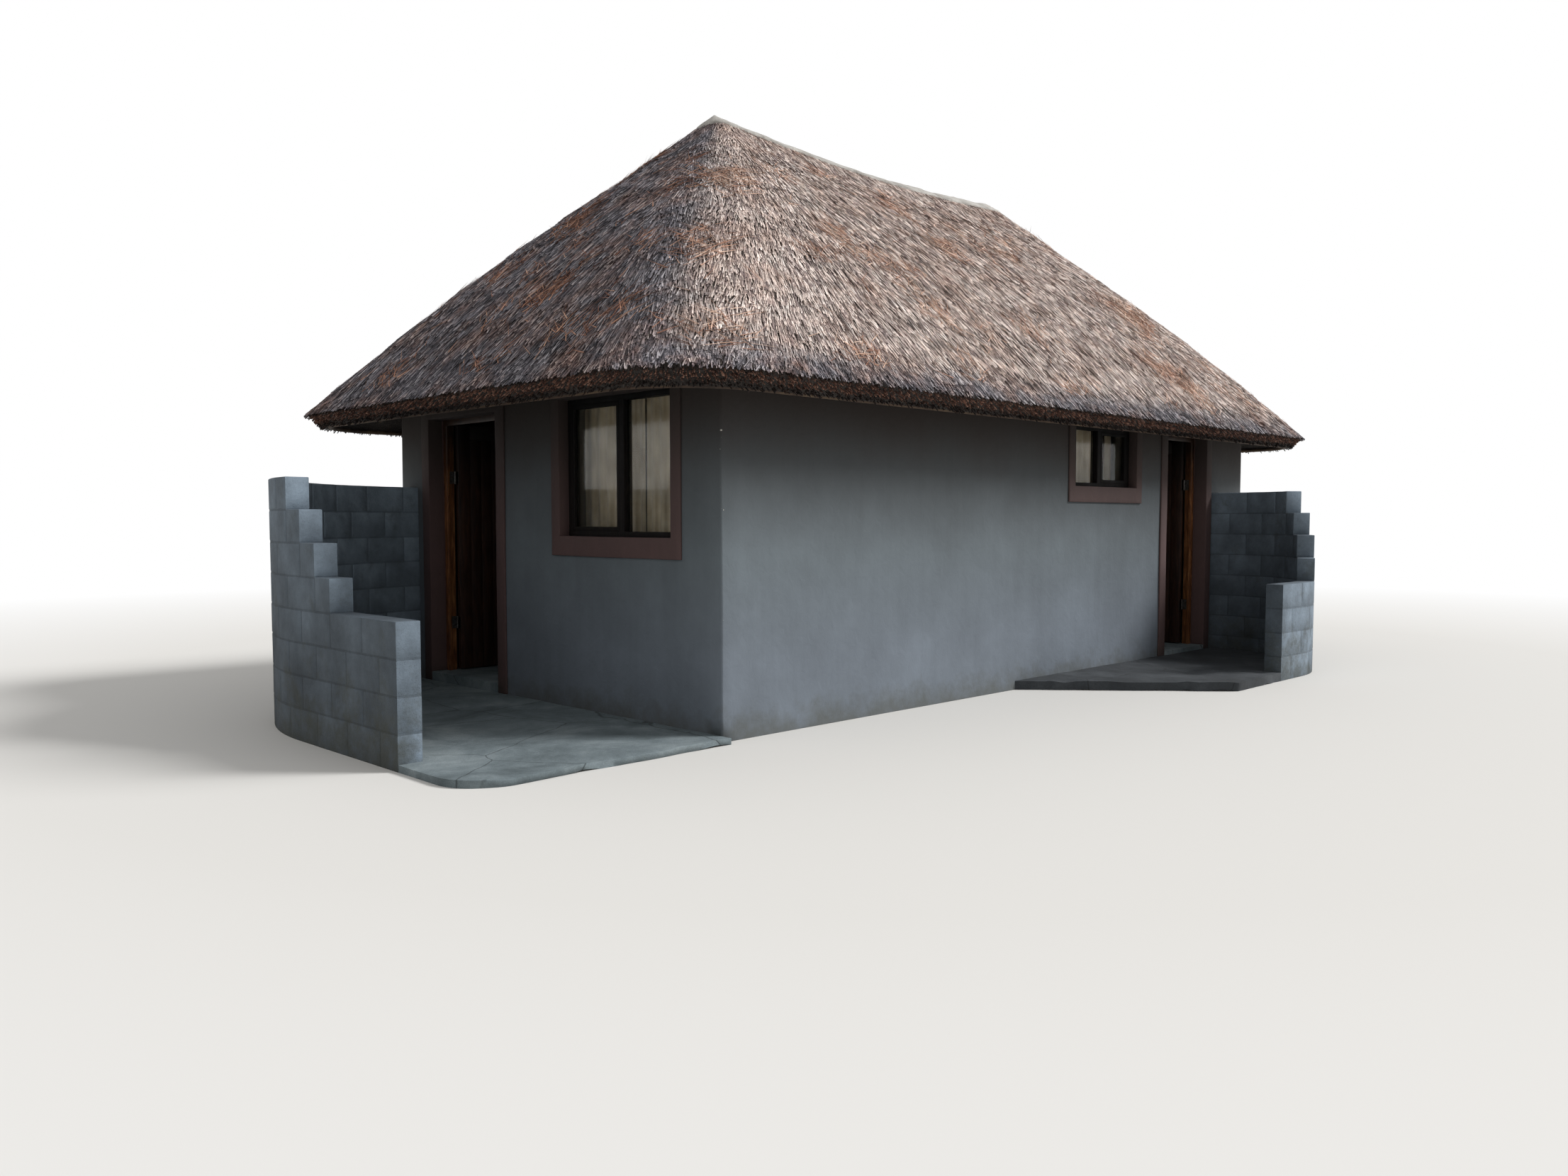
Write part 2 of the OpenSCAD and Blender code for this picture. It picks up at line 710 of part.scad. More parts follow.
module entrance_wall() {
    color(plaster_grey)
        difference() {
            entrance_slab(-inner_w / 2, entrance_door_y0 - reveal_t, 0);
            at_entrance(entrance_win_y1, entrance_win_sill) box_hole(entrance_win_w, entrance_win_h);
        }
}
module entrance_wall_end() {
    color(plaster_grey) entrance_slab(entrance_door_y1 + reveal_t, inner_w / 2, 0);
}
module entrance_wall_lintel() {
    color(plaster_grey)
        entrance_slab(entrance_door_y0 - reveal_t, entrance_door_y1 + reveal_t, door_head + reveal_t);
}
module far_end_wall() {
    color(plaster_grey) end_slab(-inner_w / 2, inner_w / 2, 0);
}

// Floor, thresholds and stoeps

module floor_slab() {
    color(concrete)
        translate([x0 + wall_t, y0 + wall_t, 0])
            cube([hut_l - 2 * wall_t, hut_w - 2 * wall_t, floor_h]);
}
module threshold(w, stoep_h) {
    translate([-reveal_t, 0, 0])
        cube([w + 2 * reveal_t, wall_t, floor_h]);
    translate([0, -band_t, stoep_h])
        cube([w, band_t, floor_h - stoep_h]);
}
module thresholds() {
    color(concrete) {
        at_entrance(entrance_door_y1, 0) threshold(entrance_door_w, entrance_stoep_h);
        at_front(side_door_x0, 0) threshold(side_door_w, side_stoep_h);
    }
}

// Plan of a screen wall: a straight run to (0, 0), an arc of outer radius r about (r, 0) that ends at x = clip,
// and a straight leg on from a quarter turn
module screen_plan(start, run, r, clip, leg) {
    if (start < run)
        translate([0, start - run])
            square([screen_t, run - start]);
    if (leg > 0)
        translate([r, r - screen_t])
            square([leg, screen_t]);
    bend = max(0, (start - run) / (PI * r) * 180);
    intersection() {
        difference() {
            translate([r, 0]) circle(r = r, $fn = 192);
            translate([r, 0]) circle(r = r - screen_t, $fn = 192);
        }
        translate([r, 0])
            polygon([
                [0, 0],
                [-2 * r * cos(bend), 2 * r * sin(bend)],
                [-2 * r * cos(bend) + 2 * r, 2 * r * sin(bend) + 2 * r],
                [2 * r, 0]
            ]);
        translate([-1, -1]) square([clip + 1, 3 * r]);
    }
}
module stepped_screen(run, r, clip, leg = 0) {
    for (n = [low_courses:high_courses]) {
        start = n == low_courses ? 0 : low_run + (n - low_courses - 1) * step_run;
        linear_extrude(n * course_h)
            screen_plan(start, run, r, clip, leg);
    }
}

// Centre of the entrance screen wall's bend, measured from the hut's near corner
entrance_screen_cy = hut_w - entrance_screen_root
    - sqrt(pow(entrance_screen_r, 2) - pow(entrance_screen_r - entrance_screen_out, 2));
entrance_screen_run = entrance_screen_cy - entrance_screen_start;
module at_entrance_screen() {
    translate([x0 - entrance_screen_out, y0 + entrance_screen_cy, 0]) children();
}
module entrance_screen_wall() {
    color(plaster_grey)
        at_entrance_screen()
            stepped_screen(entrance_screen_run, entrance_screen_r, entrance_screen_out);
}

// The side screen wall bends back to the front wall and ends square on it
side_screen_cx = side_door_x1 + side_screen_gap + screen_t - side_screen_r;
side_screen_run = side_screen_cx - (side_door_x0 - side_screen_start);
side_screen_leg = side_screen_out - side_screen_r;
module at_side_screen() {
    translate([side_screen_cx, y0 - side_screen_out, 0]) rotate([0, 0, -90]) mirror([1, 0, 0]) children();
}
module side_screen_wall() {
    color(plaster_grey)
        at_side_screen()
            stepped_screen(side_screen_run, side_screen_r, side_screen_r, side_screen_leg);
}

// The entrance stoep fills the court between the wall and its screen
module entrance_stoep() {
    r = entrance_stoep_round;
    front_y = -entrance_screen_cy - entrance_stoep_past;
    color(concrete)
        at_entrance_screen()
            linear_extrude(entrance_stoep_h)
                intersection() {
                    union() {
                        translate([screen_t, -entrance_screen_run])
                            square([entrance_screen_out, entrance_screen_run]);
                        translate([0, front_y + r])
                            square([entrance_screen_out, entrance_screen_start + entrance_stoep_past - r]);
                        translate([r, front_y])
                            square([entrance_screen_out, r]);
                        translate([r, front_y + r])
                            circle(r = r, $fn = 192);
                        intersection() {
                            translate([entrance_screen_r, 0])
                                circle(r = entrance_screen_r - screen_t, $fn = 192);
                            square([entrance_screen_out, entrance_screen_r]);
                        }
                    }
                    translate([-1, front_y - 1])
                        square([entrance_screen_out + 1, 3 * entrance_screen_r]);
                }
}

// The side stoep runs out slantwise from the wall and fills the court of the side screen
module side_stoep() {
    inner_r = side_screen_r - screen_t;
    wall_x = side_door_x1 + side_screen_gap;
    free_x = side_door_x0 - side_screen_start;
    color(concrete)
        linear_extrude(side_stoep_h) {
            polygon([
                [side_door_x0 - side_stoep_run, y0],
                [side_door_x0 - side_stoep_corner, y0 - side_screen_out],
                [free_x, y0 - side_screen_out],
                [free_x, y0 - side_screen_out + screen_t],
                [side_screen_cx, y0 - side_screen_out + screen_t],
                [side_screen_cx, y0]
            ]);
            intersection() {
                translate([side_screen_cx, y0 - side_screen_leg]) circle(r = inner_r, $fn = 192);
                translate([side_screen_cx, y0 - side_screen_out]) square([inner_r, side_screen_r]);
            }
            translate([side_screen_cx, y0 - side_screen_leg])
                square([wall_x - side_screen_cx, side_screen_leg]);
        }
}

// Plaster bands round the openings, with their reveals back to the frames
module window_surround(w, h) {
    difference() {
        union() {
            translate([-win_band_w, -band_t, -sill_band_h])
                cube([w + 2 * win_band_w, band_t, h + win_band_w + sill_band_h]);
            translate([-reveal_t, -1, -reveal_t])
                cube([w + 2 * reveal_t, win_set + 1, h + 2 * reveal_t]);
        }
        translate([0, -band_t - 1, 0])
            cube([w, win_set + band_t + 2, h]);
    }
}
module door_surround(w) {
    h = door_head - floor_h;
    difference() {
        union() {
            translate([-band_w, -band_t, 0])
                cube([w + 2 * band_w, band_t, h + band_w]);
            translate([-reveal_t, -1, 0])
                cube([w + 2 * reveal_t, door_set + 1, h + reveal_t]);
        }
        translate([0, -band_t - 1, -1])
            cube([w, door_set + band_t + 2, h + 1]);
    }
}
module band_foot(w, h) {
    for (u = [-band_w, w])
        translate([u, -band_t, 0])
            cube([band_w, band_t, h]);
}
module window_surrounds() {
    color(band_brown) {
        at_entrance(entrance_win_y1, entrance_win_sill) window_surround(entrance_win_w, entrance_win_h);
        at_front(side_win_x0, side_win_sill) window_surround(side_win_w, side_win_h);
        at_back(side_win_x1, side_win_sill) window_surround(side_win_w, side_win_h);
    }
}
module door_surrounds() {
    color(band_brown) {
        at_entrance(entrance_door_y1, floor_h) door_surround(entrance_door_w);
        at_entrance(entrance_door_y1, entrance_stoep_h) band_foot(entrance_door_w, floor_h - entrance_stoep_h);
        at_front(side_door_x0, floor_h) door_surround(side_door_w);
        at_front(side_door_x0, side_stoep_h) band_foot(side_door_w, floor_h - side_stoep_h);
    }
}

// Windows: a frame with a mullion, one casement and one fixed pane

function light_w(w) = (w - 2 * win_frame_w - mullion_w) / 2;
// Where a light starts, 0 for the left one and 1 for the right one
function light_u(w, k) = win_frame_w + k * (light_w(w) + mullion_w);
module light_hole(w, h, k, grow, v, d) {
    translate([light_u(w, k) - grow, v, win_frame_w - grow])
        cube([light_w(w) + 2 * grow, d, h - 2 * win_frame_w + 2 * grow]);
}
module fixed_glass(w, h, k) {
    light_hole(w, h, k, glass_bite, win_set + win_frame_d / 2 - glass_t / 2, glass_t);
}
module window_frame(w, h, casement) {
    difference() {
        translate([-reveal_t, win_set, -reveal_t])
            cube([w + 2 * reveal_t, win_frame_d, h + 2 * reveal_t]);
        for (k = [0, 1]) light_hole(w, h, k, 0, win_set - 1, win_frame_d + 2);
        fixed_glass(w, h, 1 - casement);
    }
}
// The casement fills its light, flush with the frame's face
module sash_glass(w, h, k) {
    light_hole(w, h, k, glass_bite - sash_w, win_set + sash_d / 2 - glass_t / 2, glass_t);
}
module casement(w, h, k) {
    difference() {
        light_hole(w, h, k, 0, win_set, sash_d);
        light_hole(w, h, k, -sash_w, win_set - 1, sash_d + 2);
        sash_glass(w, h, k);
    }
}
module window_frames() {
    color(joinery_dark) {
        at_entrance(entrance_win_y1, entrance_win_sill) window_frame(entrance_win_w, entrance_win_h, 0);
        at_front(side_win_x0, side_win_sill) window_frame(side_win_w, side_win_h, 1);
        at_back(side_win_x1, side_win_sill) window_frame(side_win_w, side_win_h, 1);
    }
}
module window_casements() {
    color(joinery_dark) {
        at_entrance(entrance_win_y1, entrance_win_sill) casement(entrance_win_w, entrance_win_h, 0);
        at_front(side_win_x0, side_win_sill) casement(side_win_w, side_win_h, 1);
        at_back(side_win_x1, side_win_sill) casement(side_win_w, side_win_h, 1);
    }
}
module panes(w, h, k) {
    sash_glass(w, h, k);
    fixed_glass(w, h, 1 - k);
}
module window_panes() {
    color("#9FB4B8", 0.4) {
        at_entrance(entrance_win_y1, entrance_win_sill) panes(entrance_win_w, entrance_win_h, 0);
        at_front(side_win_x0, side_win_sill) panes(side_win_w, side_win_h, 1);
        at_back(side_win_x1, side_win_sill) panes(side_win_w, side_win_h, 1);
    }
}

// Curtains hang in folds from a rail inside each window

rail_v = wall_t + rail_out;
rail_end = 20;
module rail(w, h) {
    reach = 2 * (curtain_lap + rail_end);
    translate([-reach / 2, rail_v, h + rail_up])
        rotate([0, 90, 0])
            cylinder(h = w + reach, d = rail_d);
    for (u = [-reach / 4, w + reach / 4])
        translate([u, wall_t, h + rail_up])
            rotate([-90, 0, 0])
                cylinder(h = rail_out, d = rail_d / 2);
}
module curtain_rails() {
    color(joinery_dark) {
        at_entrance(entrance_win_y1, entrance_win_sill) rail(entrance_win_w, entrance_win_h);
        at_front(side_win_x0, side_win_sill) rail(side_win_w, side_win_h);
        at_back(side_win_x1, side_win_sill) rail(side_win_w, side_win_h);
    }
}
// One curtain from u to u + w, below the rail of a window of height h
module curtain(u, w, h) {
    steps_per_fold = 6;
    folds = max(1, round(w / fold_w));
    n = folds * steps_per_fold;
    line = [for (i = [0:n]) [w * i / n, fold_depth * sin(360 * i / steps_per_fold)]];
    translate([u, rail_v - curtain_t / 2, -curtain_drop])
        linear_extrude(h + rail_up - rail_d / 2 + curtain_drop)
            polygon(concat(line, [for (i = [n:-1:0]) line[i] + [0, curtain_t]]));
}
module entrance_curtains() {
    half = entrance_win_w / 2 + curtain_lap - 10;
    color(cloth_cream)
        at_entrance(entrance_win_y1, entrance_win_sill) {
            curtain(-curtain_lap, half, entrance_win_h);
            curtain(entrance_win_w / 2 + 10, half, entrance_win_h);
        }
}
// The front curtains are drawn from the left to the middle of the right light, the rest is bunched at the right
drawn_w = 0.76 * side_win_w;
bunch_w = 100;
module side_curtains() {
    curtain(-curtain_lap, drawn_w + curtain_lap, side_win_h);
    curtain(side_win_w - bunch_w / 2, bunch_w, side_win_h);
}
module front_curtains() color(cloth_cream) at_front(side_win_x0, side_win_sill) side_curtains();
module back_curtains() color(cloth_cream) at_back(side_win_x1, side_win_sill) side_curtains();

// Doors. u starts at the hinged jamb, v goes into the wall, z starts at the floor

leaf_h = door_head - floor_h;
rebate_u = door_frame_w - door_stop;
frame_back = door_set + door_frame_d;
leaf_front = frame_back - leaf_t;
leaf_u = rebate_u + leaf_gap;
pin_u = rebate_u + leaf_gap / 2;
pin_v = frame_back + knuckle_d / 2 + 2;

module door_frame(w) {
    top_z = leaf_h;
    difference() {
        translate([-reveal_t, door_set, 0])
            cube([w + 2 * reveal_t, door_frame_d, top_z + reveal_t]);
        translate([rebate_u, door_set - 1, -1])
            cube([w - 2 * rebate_u, door_frame_d + 2, top_z - rebate_u + 1]);
        for (z = [hinge_low, hinge_high]) frame_plate(z);
    }
    for (u = [rebate_u, w - door_frame_w])
        translate([u, door_set, 0])
            cube([door_stop, leaf_front - leaf_gap - door_set, top_z - rebate_u]);
    translate([door_frame_w, door_set, top_z - door_frame_w])
        cube([w - 2 * door_frame_w, leaf_front - leaf_gap - door_set, door_stop]);
}
module frame_plate(z) {
    translate([rebate_u - hinge_t, leaf_front, z - hinge_l / 2])
        cube([hinge_t, leaf_t, hinge_l]);
}
module door_frames() {
    color(varnish) {
        at_entrance(entrance_door_y1, floor_h) door_frame(entrance_door_w);
        at_side_hinge(floor_h) door_frame(side_door_w);
    }
}
module hinge_plates() {
    color(steel_dark) {
        at_entrance(entrance_door_y1, floor_h) for (z = [hinge_low, hinge_high]) frame_plate(z);
        at_side_hinge(floor_h) for (z = [hinge_low, hinge_high]) frame_plate(z);
    }
}

// The leaf stands open, a quarter turn about its pin
module swung_open() {
    translate([pin_u, pin_v, 0])
        rotate([0, 0, 90])
            translate([-pin_u, -pin_v, 0])
                children();
}
module leaf_plate(z) {
    translate([leaf_u, leaf_front, z - hinge_l / 2])
        cube([hinge_t, pin_v - leaf_front, hinge_l]);
}
module leaf(w) {
    lw = w - 2 * leaf_u;
    lh = leaf_h - rebate_u - leaf_gap - leaf_lift;
    inner = lw - 2 * stile_w;
    difference() {
        translate([leaf_u, leaf_front, leaf_lift])
            cube([lw, leaf_t, lh]);
        translate([leaf_u + stile_w, leaf_front - 1, leaf_lift - 1])
            cube([inner, board_set + 1, lh - stile_w + 1]);
        for (k = [0, 1])
            translate([leaf_u + stile_w, leaf_front + board_set + board_t, leaf_lift + ledge_h + k * ledge_rise(lh)])
                cube([inner, leaf_t, ledge_rise(lh) - ledge_h]);
        for (z = [hinge_low, hinge_high]) leaf_plate(z);
    }
}
// From the underside of one ledge to the next, up to the top rail
function ledge_rise(lh) = (lh - stile_w) / 2;

module leaf_hinges() {
    for (z = [hinge_low, hinge_high]) {
        leaf_plate(z);
        translate([pin_u, pin_v, z - hinge_l / 2])
            cylinder(h = hinge_l, d = knuckle_d);
    }
}
// A lever on a plate, on both faces of the leaf
module lever_set(w) {
    plate_w = 40;
    plate_l = 200;
    plate_t = 6;
    u = w - leaf_u - stile_w / 2;
    for (f = [0, 1])
        translate([u, leaf_front + f * leaf_t, lever_h])
            mirror([0, 1 - f, 0]) {
                translate([-plate_w / 2, 0, -plate_l * 0.6])
                    cube([plate_w, plate_t, plate_l]);
                rotate([-90, 0, 0])
                    cylinder(h = lever_out, d = lever_d);
                translate([0, lever_out, 0]) {
                    sphere(d = lever_d);
                    rotate([0, -90, 0])
                        cylinder(h = lever_l, d = lever_d);
                }
            }
}
module entrance_leaf_frame() at_entrance(entrance_door_y1, floor_h) swung_open() children();
module side_leaf_frame() at_side_hinge(floor_h) swung_open() children();

module entrance_door() color(varnish) entrance_leaf_frame() leaf(entrance_door_w);
module entrance_door_hinges() color(steel_dark) entrance_leaf_frame() leaf_hinges();
module entrance_door_handle() color(steel_dark) entrance_leaf_frame() lever_set(entrance_door_w);
module side_door() color(varnish) side_leaf_frame() leaf(side_door_w);
module side_door_hinges() color(steel_dark) side_leaf_frame() leaf_hinges();
module side_door_handle() color(steel_dark) side_leaf_frame() lever_set(side_door_w);

front_wall();
front_wall_end();
front_wall_lintel();
entrance_wall();
entrance_wall_end();
entrance_wall_lintel();
back_wall();
far_end_wall();
floor_slab();
thresholds();
entrance_stoep();
side_stoep();
window_surrounds();
door_surrounds();
window_frames();
window_casements();
window_panes();
entrance_curtains();
front_curtains();
back_curtains();
curtain_rails();
door_frames();
hinge_plates();
entrance_door();
entrance_door_hinges();
entrance_door_handle();
side_door();
side_door_hinges();
side_door_handle();
wall_plates();
ridge_pole();
front_rafters();
back_rafters();
entrance_rafters();
far_rafters();
hip_rafters();
collar_ties();
roof_laths();
front_thatch();
back_thatch();
entrance_thatch();
far_thatch();
ridge_cap();
entrance_screen_wall();
side_screen_wall();
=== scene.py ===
"""Dresses the thatched garden hut: straw, plaster, blocks, joinery, cloth and the stage around the frame."""
import math
import random
from functools import partial

import bmesh
import bpy
from mathutils import Matrix, Vector, noise


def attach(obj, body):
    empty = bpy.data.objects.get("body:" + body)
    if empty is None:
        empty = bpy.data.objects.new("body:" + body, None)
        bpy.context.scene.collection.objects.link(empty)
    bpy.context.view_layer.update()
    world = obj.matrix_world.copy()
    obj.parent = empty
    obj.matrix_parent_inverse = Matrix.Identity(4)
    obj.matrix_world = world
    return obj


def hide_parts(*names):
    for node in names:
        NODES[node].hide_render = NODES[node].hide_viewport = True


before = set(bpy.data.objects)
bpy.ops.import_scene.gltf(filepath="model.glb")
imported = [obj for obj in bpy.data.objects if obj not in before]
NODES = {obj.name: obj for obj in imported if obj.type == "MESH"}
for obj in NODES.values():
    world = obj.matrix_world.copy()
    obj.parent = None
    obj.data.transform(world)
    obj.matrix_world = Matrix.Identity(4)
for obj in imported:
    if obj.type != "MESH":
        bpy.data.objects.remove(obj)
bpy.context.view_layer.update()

bl_info = {
    "name": "Thatched Garden Hut",
    "version": (1, 0, 0),
    "blender": (4, 5, 0),
    "location": "View3D > Sidebar > Hut",
    "description": "Straw, plaster, blocks, joinery and cloth for a thatched garden hut",
    "category": "Object",
}

ROOM = "hut"

# Walls, in metres from the middle of the plan at ground level
HUT_L = 7.160
HUT_W = 3.980
WALL_T = 0.220
X0 = -HUT_L / 2
Y0 = -HUT_W / 2
FLOOR_Z = 0.110

# Roof. The slopes swell by the crown, most of it low down, and by a shoulder beside the cap. The hips are
# rounded: the fill says how soon below the ridge they reach the corner radius of the eaves, and each takes up
# a share of its side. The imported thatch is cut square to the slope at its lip.
RIDGE_HALF = 1.800
EAVE_L = 4.360
EAVE_W = 2.490
EAVE_Z = 2.180
THATCH_TOP = 4.530
THATCH_T = 0.150
CROWN = 0.140
CROWN_LOW = 1.2
SHOULDER = 0.085
CORNER_R = 0.680
HIP_FILL = 2.5
HIP_LONG = 0.14
HIP_SHORT = 0.22
RIDGE_SAG = 0.075
CAP_REACH = 0.165
COURSE_RISE = 0.360
PITCH = math.atan((THATCH_TOP - EAVE_Z) / EAVE_W)
CUT_IN = THATCH_T * math.sin(PITCH)
CUT_DROP = THATCH_T * math.cos(PITCH)

# Openings: each window's near edge, width and sill, and the jamb and the width of each door's leaf
ENTRANCE_WINDOW_Y = -0.320
ENTRANCE_WINDOW_W = 1.210
ENTRANCE_SILL = 1.225
SIDE_WINDOW_X = 0.365
SIDE_WINDOW_W = 1.020
SIDE_SILL = 1.620
ENTRANCE_JAMB_Y = 1.510
ENTRANCE_DOOR_W = 1.000
SIDE_JAMB_X = 2.770
SIDE_DOOR_W = 0.800

# Door leaves: their gap to the opening, the depth of both faces from the wall's outer one, their timbers, and
# the place of the hinge pins, from the opening and from outside
LEAF_IN = 0.038
LEAF_FRONT = 0.150
LEAF_BACK = 0.190
LEAF_LIFT = 0.010
LEAF_H = 1.982
STILE_W = 0.110
LEDGE_H = 0.160
BOARD_T = 0.018
BOARD_SET = 0.003
PIN_IN = 0.0355
PIN_DEEP = LEAF_BACK + 0.008

# Screen walls: the blocks, where each course starts, and the path of each outer face, with the ways ahead and
# inward at its start, a straight run, a bend and a straight tail
COURSE_H = 0.200
BLOCK_L = 0.400
BLOCK_T = 0.140
BLOCK_ROUNDING = 0.006
COURSE_STARTS = (0.0, 0.0, 0.0, 0.0, 0.8, 1.0, 1.2, 1.4)
SCREENS = {
    "entrance_screen": {"start": (-5.347, -1.390), "ahead": (0.0, 1.0), "inward": (1.0, 0.0),
                        "run": 1.2686, "radius": 2.0, "bend": math.radians(84.0), "tail": 0.0},
    "side_screen": {"start": (1.490, -3.280), "ahead": (1.0, 0.0), "inward": (0.0, 1.0),
                    "run": 0.470, "radius": 1.1, "bend": math.pi / 2, "tail": 0.200},
}

# Stage, with the camera where the photograph was taken
FLOOR_R = 60.0
LAMP_WAY = (0.60, -0.50, 0.62)
LENS_MM = 26.70
EYE = (-8.214, -7.149, 1.34)
EYE_TURN = (math.radians(86.634), 0.0, math.radians(-45.0))

SIDES = ("front", "back", "entrance", "far")
LONG_SIDES = ("front", "back")

# CAD corners less than this many metres apart are one, and so are faces that turn less than this in radians
MERGE = 0.0001
FLAT = 0.002

# Settings that the shader nodes share
BLEND = {"data_type": "RGBA"}
MULTIPLY = {"data_type": "RGBA", "blend_type": "MULTIPLY"}
SCALED_SUM = {"operation": "MULTIPLY_ADD"}


def linear(code):
    """Turn an sRGB hex colour into linear red, green and blue."""
    parts = [int(code[i:i + 2], 16) / 255 for i in (1, 3, 5)]
    return tuple(c / 12.92 if c <= 0.04045 else ((c + 0.055) / 1.055) ** 2.4 for c in parts)


def fill(made, inputs):
    """Fill a node's inputs, by name or number. A node given as a value stands for its first output in use."""
    named = {socket.name: socket for socket in list(made.inputs)[::-1] if socket.enabled}
    for key, value in inputs.items():
        socket = made.inputs[key] if isinstance(key, int) else named[key]
        if isinstance(value, bpy.types.Node):
            value = next(output for output in value.outputs if output.enabled)
        if isinstance(value, bpy.types.NodeSocket):
            made.id_data.links.new(value, socket)
        elif isinstance(value, str) and value.startswith("#"):
            socket.default_value = (*linear(value), 1.0)
        else:
            socket.default_value = value


def node(tree, kind, inputs=None, stops=None, **settings):
    """Add a node to a tree, with its settings, its inputs and the stops of its ramp."""
    made = tree.nodes.new(kind if "Node" in kind else "ShaderNode" + kind)
    for key, value in settings.items():
        setattr(made, key, value)
    fill(made, inputs or {})
    if stops:
        ramp = made.color_ramp.elements
        while len(ramp) < len(stops):
            ramp.new(0.5)
        for element, (place, shade) in zip(ramp, stops):
            element.position = place
            shade = linear(shade) if isinstance(shade, str) else shade
            element.color = (*shade, 1.0) if isinstance(shade, tuple) else (shade, shade, shade, 1.0)
    return made


def new_material(name):
    """Start an empty node material: itself, its way to add a node, its shader and its Object coordinates."""
    material = bpy.data.materials.new(name)
    material.use_nodes = True
    material.node_tree.nodes.clear()
    add = partial(node, material.node_tree)
    shader = add("BsdfPrincipled")
    add("OutputMaterial", {"Surface": shader})
    return material, add, shader, add("TexCoord").outputs["Object"]


def painted_plaster(name, low, mid, high, grime, chip, inside):
    """Water paint on floated cement plaster: cloudy, streaked, painted light low, painted shade under the
    eaves.
    """
    material, add, shader, place = new_material(name)
    height = add("SeparateXYZ", {"Vector": place}).outputs["Z"]
    # Clouds about 700 mm across where the paint is thin
    clouds = add("TexNoise", {"Vector": place, "Scale": 1.4, "Detail": 7.0, "Roughness": 0.62})
    cloud_shade = add("ValToRGB", {"Fac": clouds}, [(0.30, 0.80), (0.52, 0.97), (0.72, 1.15)])
    # Rain and brush streaks 90 mm wide and over a metre long
    tall = add("Mapping", {"Vector": place, "Scale": (11.0, 11.0, 0.8)})
    streaks = add("TexNoise", {"Vector": tall, "Scale": 1.0, "Detail": 5.0, "Roughness": 0.6})
    streak_shade = add("ValToRGB", {"Fac": streaks}, [(0.34, 0.94), (0.52, 1.0), (0.72, 1.05)])
    # Painted light and shade: paler below 0.5 m, darkest from 2.1 m up under the eaves
    level = add("MapRange", {"Value": height, "From Max": 2.2})
    paint = add("ValToRGB", {"Fac": level}, [(0.20, low), (0.50, mid), (0.95, high)])
    painted = add("Mix", {"Factor": 1.0, "A": paint, "B": cloud_shade}, **MULTIPLY)
    streaked = add("Mix", {"Factor": 0.6, "A": painted, "B": streak_shade}, **MULTIPLY)
    # Brown dust and smoke, and painted shade of the eaves, from 1.65 m up
    dust_and_shade_height = add("Math", {0: clouds, 1: 0.8, 2: height}, **SCALED_SUM)
    dust = add("MapRange", {"Value": dust_and_shade_height, "From Min": 2.05, "From Max": 2.52, "To Max": 0.75})
    dimmed = add("Mix", {"Factor": dust, "A": streaked, "B": "#271E1A"}, **BLEND)
    # Splashed earth up to 200 mm from the ground
    ragged = add("TexNoise", {"Vector": place, "Scale": 5.0, "Detail": 8.0, "Roughness": 0.7})
    lifted = add("Math", {0: ragged, 1: -0.55, 2: height}, **SCALED_SUM)
    foot = add("MapRange", {"Value": lifted, "From Min": -0.28, "From Max": -0.08,
                            "To Min": 0.6, "To Max": 0.0})
    grimed = add("Mix", {"Factor": foot, "A": dimmed, "B": grime}, **BLEND)
    # Knocks 5 to 20 mm across, gone down to pale plaster: many along the near corner, few elsewhere
    level_place = add("VectorMath", {0: place, 1: (1.0, 1.0, 0.0)}, operation="MULTIPLY")
    corner = add("VectorMath", {0: level_place, 1: (X0, Y0, 0.0)}, operation="DISTANCE")
    close = add("MapRange", {"Value": corner, "From Min": 0.012, "From Max": 0.045,
                             "To Min": 0.145, "To Max": 0.0})
    knocks = add("TexNoise", {"Vector": place, "Scale": 21.0, "Detail": 7.0, "Roughness": 0.65})
    hit = add("Math", {0: knocks, 1: close})
    flake = add("MapRange", {"Value": hit, "From Min": 0.795, "From Max": 0.805, "To Max": 0.9})
    flaked = add("Mix", {"Factor": flake, "A": grimed, "B": chip}, **BLEND)
    # Painted shade: from the middle of the walls inward they take the dark inside colour, for the room's
    # shade
    size = add("VectorMath", {0: place}, operation="ABSOLUTE")
    halves = add("SeparateXYZ", {"Vector": size})
    in_x = add("Math", {0: halves.outputs["X"], 1: (HUT_L - WALL_T) / 2}, operation="LESS_THAN")
    in_y = add("Math", {0: halves.outputs["Y"], 1: (HUT_W - WALL_T) / 2}, operation="LESS_THAN")
    indoor_shade_mask = add("Math", {0: in_x, 1: in_y}, operation="MULTIPLY")
    both = add("Mix", {"Factor": indoor_shade_mask, "A": flaked, "B": (*inside, 1.0)}, **BLEND)
    rough = add("MapRange", {"Value": clouds, "To Min": 0.80, "To Max": 0.96})
    # Float marks 70 mm across under sand grain of 2 mm
    float_marks = add("TexNoise", {"Vector": place, "Scale": 14.0, "Detail": 3.0, "Distortion": 0.8})
    grain = add("TexNoise", {"Vector": place, "Scale": 420.0, "Detail": 2.0})
    relief = add("Math", {0: grain, 1: 0.10, 2: float_marks}, **SCALED_SUM)
    sunk = add("Math", {0: flake, 1: -0.5, 2: relief}, **SCALED_SUM)
    bump = add("Bump", {"Height": sunk, "Strength": 0.55, "Distance": 0.006})
    fill(shader, {"Base Color": both, "Roughness": rough, "Normal": bump})
    return material


